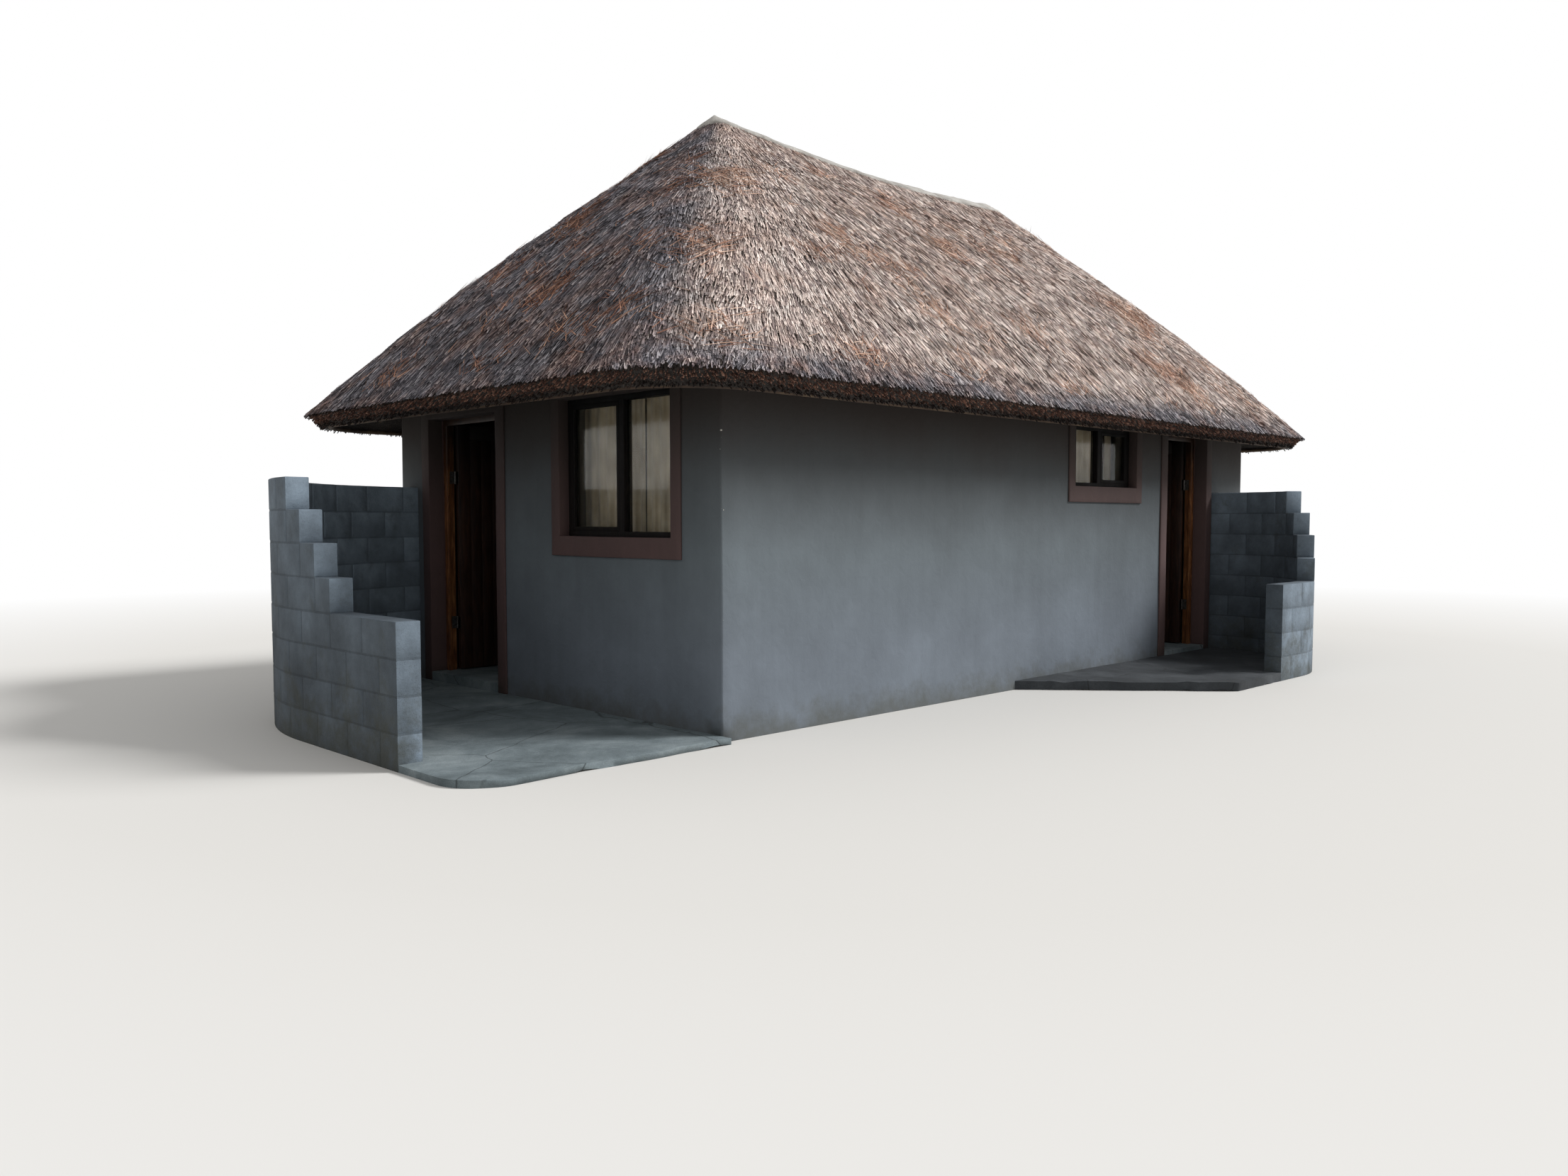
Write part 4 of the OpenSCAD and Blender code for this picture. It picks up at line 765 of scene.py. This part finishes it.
class ThatchSettings(bpy.types.PropertyGroup):
    """How the grass is laid."""
    density: bpy.props.IntProperty(name="Stems per m2", default=2450, min=100, max=6000,
                                   description="Stems on each square metre of the long slopes")
    length: metres("Stem length", "Length of a stem as laid", 0.20)
    width: metres("Stem width", "Width of a bunch of stems at its cut end", 0.0095)
    heap: metres("Unevenness", "How far the tufts rise and fall", 0.008)
    course: metres("Course ripple", "How far the courses of grass rise and fall", 0.003)
    overhang: metres("Overhang", "How far the stems reach past the packed lip", 0.045)


class MasonrySettings(bpy.types.PropertyGroup):
    """Paint and unevenness of the walls, the bands and the blocks."""
    # The colours by height are partly painted light and shade: paler low down, near black under the eaves.
    # The walls' blue tint partly stands for sky light.
    wall_low: colour("Wall paint, low", "Colour of the walls near the ground", "#69717A")
    wall: colour("Wall paint", "Colour of the walls a metre up", "#5D656A")
    wall_eave_shade: colour("Wall paint, high", "Colour of the walls under the eaves", "#2C2926")
    # Dark for the shade in the room: painted shade
    inside: colour("Inside paint", "Colour of the walls inside", "#33322F")
    band: colour("Band paint", "Colour of the bands round the openings", "#564240")
    band_eave_shade: colour("Band paint, high", "Colour of the bands under the eaves", "#332926")
    wave: metres("Waviness", "How far the plaster wanders from flat", 0.004)
    corner: metres("Corner rounding", "Rounding of the walls' outer corners", 0.012)
    joint: metres("Block joint", "Width of the joints between the blocks", 0.009)
    proud: metres("Block face", "How far the blocks stand out of their joints", 0.002)


class JoinerySettings(bpy.types.PropertyGroup):
    """Timber of the doors and windows, and the curtains."""
    board: metres("Board width", "Greatest width of a door board", 0.102)
    rounding: metres("Edge rounding", "Rounding of the timbers' edges", 0.003)
    fold: metres("Fold width", "Width of one fold of a curtain", 0.095)
    fold_depth: metres("Fold depth", "Depth of the curtains' folds, to each side", 0.022)


class StageSettings(bpy.types.PropertyGroup):
    """Floor and lamps."""
    lamp: bpy.props.FloatProperty(name="Lamp strength", description="Strength of the main lamp", default=3.2)
    sky: bpy.props.FloatProperty(name="Sky strength", description="Strength of the soft light all round",
                                 default=0.62)
    floor: colour("Floor", "Colour of the floor", "#D2D0CC")


# Operators, one for each piece or group of like pieces

WALL_NODES = ("front_wall", "front_wall_lintel", "front_wall_end", "entrance_wall", "entrance_wall_lintel",
              "entrance_wall_end", "back_wall", "far_end_wall")


class HUT_OT_walls(bpy.types.Operator):
    """Plaster the walls as one body, a little out of true"""
    bl_idname = "hut.walls"
    bl_label = "Walls"

    def execute(self, context):
        user = context.scene.hut_masonry
        bm = united_copy(WALL_NODES)

        def at_corner(co):
            return abs(abs(co.x) + X0) < 0.002 and abs(abs(co.y) + Y0) < 0.002

        corners = [e for e in sharp_edges(bm)
                   if abs(e.verts[0].co.z - e.verts[1].co.z) > 1.0 and at_corner(e.verts[0].co)]
        round_edges(bm, corners, user.corner, segments=3)
        cut_in_strips(bm, step=0.16)
        wander(bm, user.wave, size=0.9)
        split_wide_faces(bm)
        # The ramp by height is painted light low down and painted shade under the eaves, and the inside
        # colour is painted shade
        paint = painted_plaster("grey_water_paint", tuple(user.wall_low), tuple(user.wall),
                                tuple(user.wall_eave_shade), "#4A4A40", "#C6C3BA", tuple(user.inside))
        add_piece("plastered_walls", mesh_from("plastered_walls", bm), ROOM, paint,
                  WALL_NODES, crease=35)
        return {"FINISHED"}


class HUT_OT_bands(bpy.types.Operator):
    """Raise and paint the plaster bands round the openings"""
    bl_idname = "hut.bands"
    bl_label = "Bands"

    def execute(self, context):
        user = context.scene.hut_masonry
        band = tuple(user.band)
        # The bands darken under the eaves as painted shade
        paint = painted_plaster("brown_water_paint", band, band, tuple(user.band_eave_shade), "#3E3630", "#B0A598",
                                band)
        for name in ("window_surrounds", "door_surrounds"):
            bm = merged_copy(name)
            round_edges(bm, sharp_edges(bm), width=0.004)
            cut_in_strips(bm, step=0.11)
            wander(bm, user.wave, size=0.9)
            wander(bm, amount=0.0015, size=0.12, shift=5.0)
            add_piece(name + "_plaster", mesh_from(name, bm), ROOM, paint, (name,), crease=35)
        return {"FINISHED"}


class HUT_OT_screens(bpy.types.Operator):
    """Lay the painted blocks of the two screen walls, in half bond along their bent plans"""
    bl_idname = "hut.screens"
    bl_label = "Screen walls"

    def bend_point(self, path, s, inset, z):
        """Point of a wall, s along its outer face, inset from it and z up."""
        start, ahead, inward = (Vector((*path[key], 0.0)) for key in ("start", "ahead", "inward"))
        up = Vector((0.0, 0.0, z))
        if s < path["run"]:
            return start + ahead * s + inward * inset + up
        centre = start + ahead * path["run"] + inward * path["radius"]
        turn = min((s - path["run"]) / path["radius"], path["bend"])
        past = max(0.0, s - path["run"] - path["radius"] * path["bend"])
        reach = path["radius"] - inset
        return centre + ahead * reach * math.sin(turn) - inward * (reach * math.cos(turn) - past) + up

    def lay(self, name, path, material, user):
        """Lay one wall, course by course, and bend it to its path."""
        half = user.joint / 2
        proud = user.proud
        end = path["run"] + path["radius"] * path["bend"] + path["tail"]
        bm = bmesh.new()
        tone = bm.verts.layers.float.new("tone")
        picks = random.Random(len(name))
        for course, start in enumerate(COURSE_STARTS):
            above = COURSE_STARTS[course + 1] if course < 7 else math.inf
            a = start
            # The second and fourth courses start with a whole block, the others with half a block
            b = start + (BLOCK_L if course in (1, 3) else BLOCK_L / 2)
            while a < end - 0.001:
                b = min(b, end)
                # A joint on every side that meets another block or the wall, a little proud elsewhere
                left = a - proud if a == start else a + half
                right = b if b == end else b - half
                foot = course * COURSE_H + (half if course else 0.0)
                head = (course + 1) * COURSE_H + (proud if b < above + 0.001 else -half)
                shade = picks.uniform(0.4, 1.0)
                jog = Vector((0.0, picks.uniform(-0.0008, 0.0012), 0.0))
                low = (left, -proud, foot)
                high = (right, BLOCK_T + proud, head)
                for vert in add_toned_box(bm, low, high, BLOCK_ROUNDING, tone, shade):
                    vert.co += jog
                a = b
                b += BLOCK_L
        cut_in_strips(bm, step=0.1, axes=(0,))
        for vert in bm.verts:
            vert.co = self.bend_point(path, *vert.co)
        face_outward(bm)
        wander(bm, amount=0.0012, size=0.07, shift=2.0)
        add_piece(name + "_blocks", mesh_from(name, bm), ROOM, material, crease=40)

    def execute(self, context):
        paint = block_paint("block_water_paint")
        for name, path in SCREENS.items():
            self.lay(name, path, paint, context.scene.hut_masonry)
            dress_nodes(paint, name + "_wall")
        return {"FINISHED"}


class HUT_OT_stoeps(bpy.types.Operator):
    """Finish the floor, the thresholds and the worn, ragged stoeps"""
    bl_idname = "hut.stoeps"
    bl_label = "Floor and stoeps"

    def execute(self, context):
        concrete = worn_concrete("stoep_concrete", "#4A5457", "#687377", "#879194")
        # Painted shade: the side stoep takes a much darker copy of the concrete
        shade_side = worn_concrete("shaded_concrete", "#212427", "#313539", "#474B4F")
        dress_nodes(concrete, "floor_slab", "thresholds")

        # Edges are ragged where they are free, and true along the walls and the side screen
        def free_front(co):
            return clamp((Y0 - 0.01 - co.y) / 0.06)

        def free_slant(co):
            return clamp((Y0 - 0.10 - co.y) / 0.10) * clamp((1.46 - co.x) / 0.06)

        for name, weight, finish in (("entrance_stoep", free_front, concrete),
                                     ("side_stoep", free_slant, shade_side)):
            bm = merged_copy(name)
            top = max(v.co.z for v in bm.verts)
            brim = [e for e in sharp_edges(bm)
                    if all(abs(v.co.z - top) < 0.001 and weight(v.co) > 0.5 for v in e.verts)]
            round_edges(bm, brim, width=0.014, segments=3)
            cut_in_strips(bm, step=0.06, axes=(0, 1))
            wander(bm, amount=0.018, size=0.16, shift=3.0, weight=weight)
            for vert in bm.verts:
                vert.co.z = max(0.0, min(vert.co.z, top + 0.004))
                if vert.co.z > 0.01:
                    vert.co.z += 0.003 * noise.noise(vert.co / 0.35)
            split_wide_faces(bm)
            add_piece(name + "_floor", mesh_from(name, bm), ROOM, finish, (name,), crease=50)
        return {"FINISHED"}


class HUT_OT_thatch(bpy.types.Operator):
    """Lay the grass on the four slopes and at the eaves, with the litter that lies on it"""
    bl_idname = "hut.thatch"
    bl_label = "Thatch"

    def execute(self, context):
        user = context.scene.hut_thatch
        dress_nodes(packed_thatch("packed_grass"), *(side + "_thatch" for side in SIDES))
        # Each grass's ramps: sunlit colours (painted light), shaded colours (painted shade) and rust
        grass = straw_stems("weathered_grass",
                            ("#5E5356", "#A3918D", "#E0CFC5", "#F4E6DD", "#FCF5F0"),
                            ("#26262C", "#484950", "#6C6B74", "#918F96", "#BEBCC0"),
                            ("#3A2622", "#6E4A3C", "#9C7059", "#BF9479", "#E0BEA3"), 0.62)
        # The cut face's grass is much darker: partly its own colour, partly painted shade under the lip
        butts = straw_stems("dark_cut_grass",
                            ("#38251F", "#573A31", "#785547", "#987261", "#B8907E"),
                            ("#090606", "#110C0A", "#1B1310", "#261B17", "#352720"),
                            ("#1C120E", "#2C1D16", "#402B20", "#54392B", "#6A4A38"), 0.35)
        litter = straw_stems("fallen_litter",
                             ("#7B5543", "#A57D68", "#C6A18A", "#DFC2AE", "#F2DFD0"),
                             ("#452C23", "#6B4738", "#8E6350", "#AE826A", "#CBA48B"),
                             ("#5A3328", "#8C5843", "#B57C60", "#CF9C7F", "#E6BFA4"), 0.8)
        slope = {"density": user.density, "bare": user.density, "patch": -1.0, "tuft": 4.0, "lean": 0.16,
                 "stray": 0.17, "lift": (0.03, 0.09), "proud": (0.001, 0.009), "heap": user.heap,
                 "course": user.course, "flat": 0.4, "end_on": False}
        end_slope = dict(slope, density=user.density * 1.25, bare=user.density * 1.25)
        fringe = dict(slope, density=3800, bare=3800, stray=0.30, lift=(0.0, 0.14), heap=0.006, course=0.0,
                      flat=0.6)
        cut = dict(slope, density=4800, bare=4800, tuft=7.0, stray=0.25, lift=(-0.3, 0.1),
                   proud=(-0.010, 0.028), heap=0.008, course=0.0, flat=1.0, end_on=True)
        collar = dict(slope, density=4200, bare=4200, stray=0.35, lift=(-0.06, 0.10), proud=(-0.004, 0.010),
                      heap=0.006, course=0.0, flat=0.6)
        strewn = dict(slope, density=1300, bare=8, patch=0.555, lean=0.9, stray=2.2, lift=(-0.04, 0.05),
                      proud=(0.006, 0.014), flat=0.6)
        straw = {"length": user.length, "width": user.width}
        past = 1.0 + user.overhang / (EAVE_W / math.cos(PITCH))
        for number, side in enumerate(SIDES):
            on_slope, columns = (slope, 96) if side in LONG_SIDES else (end_slope, 64)
            # Each layer's name, lowest and highest level, rows of its field, face, laying, straw and material
            layers = (("slope_grass", 0.140, past - 0.010, 28, "top", on_slope, straw, grass),
                      ("fringe_grass", 0.965, past, 2, "top", fringe, straw, grass),
                      ("cut_grass", 0.0, 1.0, 8, "cut", cut, {"length": 0.12, "width": 0.009}, butts),
                      ("collar_grass", 0.066, 0.160, 3, "top", collar, dict(straw, length=0.13), grass),
                      ("litter", 0.16, 0.97, 28, "top", strewn, {"length": 0.19, "width": 0.007}, litter))
            for layer, (name, low, high, rows, face, laid, stem, finish) in enumerate(layers):
                field = roof_field(side, low, high, columns, rows, face)
                lay_stems(side + "_" + name, field, laid, stem, 10 * number + 100 * layer, finish)
        return {"FINISHED"}


class HUT_OT_ridge_cap(bpy.types.Operator):
    """Cast the lumpy cement cap along the ridge"""
    bl_idname = "hut.ridge_cap"
    bl_label = "Ridge cap"

    def execute(self, context):
        bm = merged_copy("ridge_cap")
        bmesh.ops.triangulate(bm, faces=bm.faces)
        round_edges(bm, sharp_edges(bm, degrees=25.0), width=0.012)
        cut_in_strips(bm, step=0.06, axes=(0, 1))
        wander(bm, amount=0.012, size=0.22)
        wander(bm, amount=0.005, size=0.06, shift=4.0)
        split_wide_faces(bm)
        add_piece("cast_ridge_cap", mesh_from("cast_ridge_cap", bm), ROOM, cast_cement("ridge_cement"),
                  ("ridge_cap",), crease=60)
        return {"FINISHED"}


class HUT_OT_timbers(bpy.types.Operator):
    """Finish the roof timbers"""
    bl_idname = "hut.timbers"
    bl_label = "Roof timbers"

    def execute(self, context):
        dress_nodes(gum_pole("gum_pole"), "wall_plates", "ridge_pole", "front_rafters", "back_rafters",
                    "entrance_rafters", "far_rafters", "hip_rafters", "collar_ties", "roof_laths")
        return {"FINISHED"}


class HUT_OT_windows(bpy.types.Operator):
    """Round and finish the window frames and casements, and glaze them"""
    bl_idname = "hut.windows"
    bl_label = "Windows"

    def execute(self, context):
        user = context.scene.hut_joinery
        timber = stained_timber("dark_stained_timber", "#0B0808", "#14100F", "#211B18",
                                scale=(60.0, 60.0, 6.0), gloss=0.6, shine=0.2)
        for name in ("window_frames", "window_casements"):
            round_timber(name, timber, user.rounding)
        dress_nodes(timber, "curtain_rails")
        dress_nodes(float_glass("window_glass"), "window_panes")
        return {"FINISHED"}


class HUT_OT_curtains(bpy.types.Operator):
    """Hang the gathered curtains behind the windows"""
    bl_idname = "hut.curtains"
    bl_label = "Curtains"

    def hang(self, name, low_u, width, low_z, high_z, place, cotton, user, number):
        """Hang one curtain from low_u along a wall. place maps along, into and up to the hut's frame."""
        folds = max(1, round(width / user.fold))
        bm = bmesh.new()
        bmesh.ops.create_grid(bm, x_segments=folds * 14, y_segments=26, size=0.5)
        cloth = bm.loops.layers.uv.new("cloth")
        picks = random.Random(number)
        shifts = [picks.uniform(-0.35, 0.35) for _ in range(folds + 2)]
        depths = [picks.uniform(0.70, 1.0) for _ in range(folds + 2)]
        spots = {}
        rows = {}
        for vert in bm.verts:
            u = vert.co.x + 0.5
            v = vert.co.y + 0.5
            at = u * folds
            k = int(min(at, folds - 0.001))
            mix = ease(at - k)
            shift = shifts[k] * (1 - mix) + shifts[k + 1] * mix
            depth = user.fold_depth * (depths[k] * (1 - mix) + depths[k + 1] * mix)
            # Folds stray sideways toward the hem and are shallower at the rail
            stray = 0.5 * noise.noise(Vector((at * 0.4, v * 1.3, number)))
            phase = 2 * math.pi * at + shift * (1.4 - v) + stray
            into = depth * (0.55 + 0.45 * (1 - v)) * (math.sin(phase) + 0.22 * math.sin(2 * phase)) / 1.1
            along = low_u + u * width - 0.10 * user.fold * math.sin(phase) * math.cos(phase)
            spots[vert] = (along, into, low_z + v * (high_z - low_z))
            rows.setdefault(round(v, 4), []).append((u, along, into))
        # The cloth's own width is the length along its folds at half height
        middle = sorted(rows[sorted(rows)[len(rows) // 2]])
        cut_w = sum(math.dist(p[1:], q[1:]) for p, q in zip(middle, middle[1:]))
        for face in bm.faces:
            for loop in face.loops:
                co = loop.vert.co
                loop[cloth].uv = ((co.x + 0.5) * cut_w, (co.y + 0.5) * (high_z - low_z))
        for vert, spot in spots.items():
            vert.co = place(*spot)
        face_outward(bm)
        bmesh.ops.solidify(bm, geom=bm.faces[:], thickness=0.0016)
        piece = add_piece(name, mesh_from(name, bm), ROOM, cotton, crease=60)
        return piece

    def execute(self, context):
        user = context.scene.hut_joinery
        cotton = curtain_cotton("cream_cotton")
        behind = WALL_T + 0.060
        lap = 0.180
        hem = -0.110
        gap = 0.010

        def at_entrance(u, v, z):
            return Vector((X0 + behind + v, ENTRANCE_WINDOW_Y - u, ENTRANCE_SILL + z))

        def at_front(u, v, z):
            return Vector((SIDE_WINDOW_X + u, Y0 + behind + v, SIDE_SILL + z))

        def at_back(u, v, z):
            return Vector((SIDE_WINDOW_X + SIDE_WINDOW_W - u, -Y0 - behind - v, SIDE_SILL + z))

        # Two curtains meet in the middle of the entrance window. At the others one is drawn over 76% of the
        # window and one is bunched at the far edge.
        half = ENTRANCE_WINDOW_W / 2 + lap - gap
        pair = {"left": (-lap, half), "right": (ENTRANCE_WINDOW_W / 2 + gap, half)}
        uneven = {"drawn": (-lap, 0.76 * SIDE_WINDOW_W + lap), "bunched": (SIDE_WINDOW_W - 0.050, 0.100)}
        number = 0
        hung = (("entrance", at_entrance, 1.0, pair), ("front", at_front, 0.58, uneven),
                ("back", at_back, 0.58, uneven))
        for window, place, top, cloths in hung:
            stands_for = window + "_curtains"
            for part, (low_u, width) in cloths.items():
                name = window + "_curtain_" + part
                piece = self.hang(name, low_u, width, hem, top, place, cotton, user, number)
                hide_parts(stands_for)
                number += 1
        return {"FINISHED"}


class HUT_OT_doors(bpy.types.Operator):
    """Join the doors from stiles, rails, ledges and boards, and finish their frames and ironmongery"""
    bl_idname = "hut.doors"
    bl_label = "Doors"

    def leaf(self, name, width, place, body, varnish, user):
        """Join one leaf. place maps along, into and up from its frame's jamb to the open leaf in the room."""
        low_u = LEAF_IN
        high_u = width - LEAF_IN
        foot = LEAF_LIFT
        head = LEAF_LIFT + LEAF_H
        inner = low_u + STILE_W
        outer = high_u - STILE_W
        board_front = LEAF_FRONT + BOARD_SET
        board_back = board_front + BOARD_T
        rise = (LEAF_H - STILE_W) / 2
        count = round((outer - inner) / user.board)
        step = (outer - inner) / count
        # Two stiles, the top rail, two ledges and the boards
        timbers = [((low_u, LEAF_FRONT, foot), (inner, LEAF_BACK, head)),
                   ((outer, LEAF_FRONT, foot), (high_u, LEAF_BACK, head)),
                   ((inner, LEAF_FRONT, head - STILE_W), (outer, LEAF_BACK, head))]
        timbers += [((inner, board_back, foot + k * rise), (outer, LEAF_BACK, foot + k * rise + LEDGE_H))
                    for k in (0, 1)]
        timbers += [((inner + step * i + 0.0004, board_front, foot),
                     (inner + step * (i + 1) - 0.0004, board_back, head - STILE_W)) for i in range(count)]
        bm = bmesh.new()
        tone = bm.verts.layers.float.new("tone")
        picks = random.Random(len(name) + int(width * 10))
        for low, high in timbers:
            add_toned_box(bm, low, high, user.rounding, tone, picks.random())
        for vert in bm.verts:
            vert.co = place(*vert.co)
        face_outward(bm)
        add_piece(name + "_timber", mesh_from(name, bm), body, varnish, (name,),
                  crease=40)

    def execute(self, context):
        user = context.scene.hut_joinery
        scale = (45.0, 45.0, 5.0)
        varnish = stained_timber("orange_varnished_timber", "#4E301E", "#7C4E2C", "#A8764A", scale, 0.34)
        # Painted shade: the leaves' near-black stain stands partly for the shade of the room behind them
        dark = stained_timber("dark_stained_shaded_timber", "#1A0F0A", "#2E1B11", "#45291A", scale, 0.45)
        round_timber("door_frames", varnish, user.rounding)

        # Both leaves stand open at a right angle, turned about their pins
        def entrance_place(u, v, z):
            return Vector((X0 + PIN_DEEP + u - PIN_IN, ENTRANCE_JAMB_Y - (PIN_IN - v + PIN_DEEP),
                           FLOOR_Z + z))

        def side_place(u, v, z):
            return Vector((SIDE_JAMB_X - (PIN_IN - v + PIN_DEEP), Y0 + PIN_DEEP + u - PIN_IN, FLOOR_Z + z))

        self.leaf("entrance_door", ENTRANCE_DOOR_W, entrance_place, "entrance_leaf", dark, user)
        self.leaf("side_door", SIDE_DOOR_W, side_place, "side_leaf", dark, user)
        dress_nodes(dull_steel("dull_steel"), "hinge_plates", "entrance_door_hinges", "entrance_door_handle",
                    "side_door_hinges", "side_door_handle")
        return {"FINISHED"}


class HUT_OT_stage(bpy.types.Operator):
    """Set the floor, the light and the camera"""
    bl_idname = "hut.stage"
    bl_label = "Stage"

    def execute(self, context):
        user = context.scene.hut_stage
        scene = context.scene
        bm = bmesh.new()
        bmesh.ops.create_circle(bm, cap_ends=True, segments=96, radius=FLOOR_R)
        floor = link_object("floor", mesh_from("floor", bm))
        # The floor fades to white from 7 m to 16 m out, for the camera only
        material, add, shader, place = new_material("pale_floor")
        fill(shader, {"Base Color": (*user.floor, 1.0), "Roughness": 0.9})
        reach = add("VectorMath", {0: place}, operation="LENGTH")
        fade = add("MapRange", {"Value": reach, "From Min": 7.0, "From Max": 16.0})
        white = add("Emission", {"Color": "#FFFFFF", "Strength": 1.0})
        seen = add("Math", {0: add("LightPath").outputs["Is Camera Ray"], 1: fade}, operation="MULTIPLY")
        blend = add("MixShader", {"Fac": seen, 1: shader, 2: white})
        fill(material.node_tree.nodes["Material Output"], {"Surface": blend})
        floor.data.materials.append(material)

        # The sky is white where the camera sees it, also through glass
        scene.world = bpy.data.worlds.new("soft_light")
        scene.world.use_nodes = True
        scene.world.node_tree.nodes.clear()
        add = partial(node, scene.world.node_tree)
        path = add("LightPath").outputs
        seen = add("Math", {0: path["Is Camera Ray"], 1: path["Is Transmission Ray"]}, operation="MAXIMUM")
        strength = add("MapRange", {"Value": seen, "To Min": user.sky})
        add("OutputWorld", {"Surface": add("Background", {"Color": "#FFFFFF", "Strength": strength})})

        lamp = bpy.data.lights.new("main_lamp", "SUN")
        lamp.energy = user.lamp
        lamp.angle = math.radians(18.0)
        link_object("main_lamp", lamp).rotation_euler = Vector(LAMP_WAY).to_track_quat("Z", "Y").to_euler()

        lens = bpy.data.cameras.new("camera")
        lens.sensor_fit = "HORIZONTAL"
        lens.sensor_width = 36.0
        lens.lens = LENS_MM
        scene.camera = link_object("camera", lens)
        scene.camera.location = EYE
        scene.camera.rotation_euler = EYE_TURN
        scene.view_settings.view_transform = "Standard"
        return {"FINISHED"}


OPERATORS = (HUT_OT_walls, HUT_OT_bands, HUT_OT_screens, HUT_OT_stoeps, HUT_OT_thatch, HUT_OT_ridge_cap,
             HUT_OT_timbers, HUT_OT_windows, HUT_OT_curtains, HUT_OT_doors, HUT_OT_stage)
GROUPS = {"hut_thatch": ThatchSettings, "hut_masonry": MasonrySettings, "hut_joinery": JoinerySettings,
          "hut_stage": StageSettings}


class HUT_PT_panel(bpy.types.Panel):
    """The hut's pieces and settings"""
    bl_idname = "HUT_PT_panel"
    bl_label = "Thatched Garden Hut"
    bl_space_type = "VIEW_3D"
    bl_region_type = "UI"
    bl_category = "Hut"

    def draw(self, context):
        for name, group in GROUPS.items():
            settings = getattr(context.scene, name)
            for key in group.__annotations__:
                self.layout.prop(settings, key)
        for operator in OPERATORS:
            self.layout.operator(operator.bl_idname)


def register():
    for group in GROUPS.values():
        bpy.utils.register_class(group)
    for operator in OPERATORS:
        bpy.utils.register_class(operator)
    bpy.utils.register_class(HUT_PT_panel)
    for name, group in GROUPS.items():
        setattr(bpy.types.Scene, name, bpy.props.PointerProperty(type=group))


def unregister():
    for name in GROUPS:
        delattr(bpy.types.Scene, name)
    bpy.utils.unregister_class(HUT_PT_panel)
    for operator in reversed(OPERATORS):
        bpy.utils.unregister_class(operator)
    for group in GROUPS.values():
        bpy.utils.unregister_class(group)


def main():
    register()
    for operator in OPERATORS:
        area, name = operator.bl_idname.split(".")
        if getattr(getattr(bpy.ops, area), name)() != {"FINISHED"}:
            raise RuntimeError(operator.bl_label + " failed")
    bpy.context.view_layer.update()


if __name__ == "__main__":
    main()
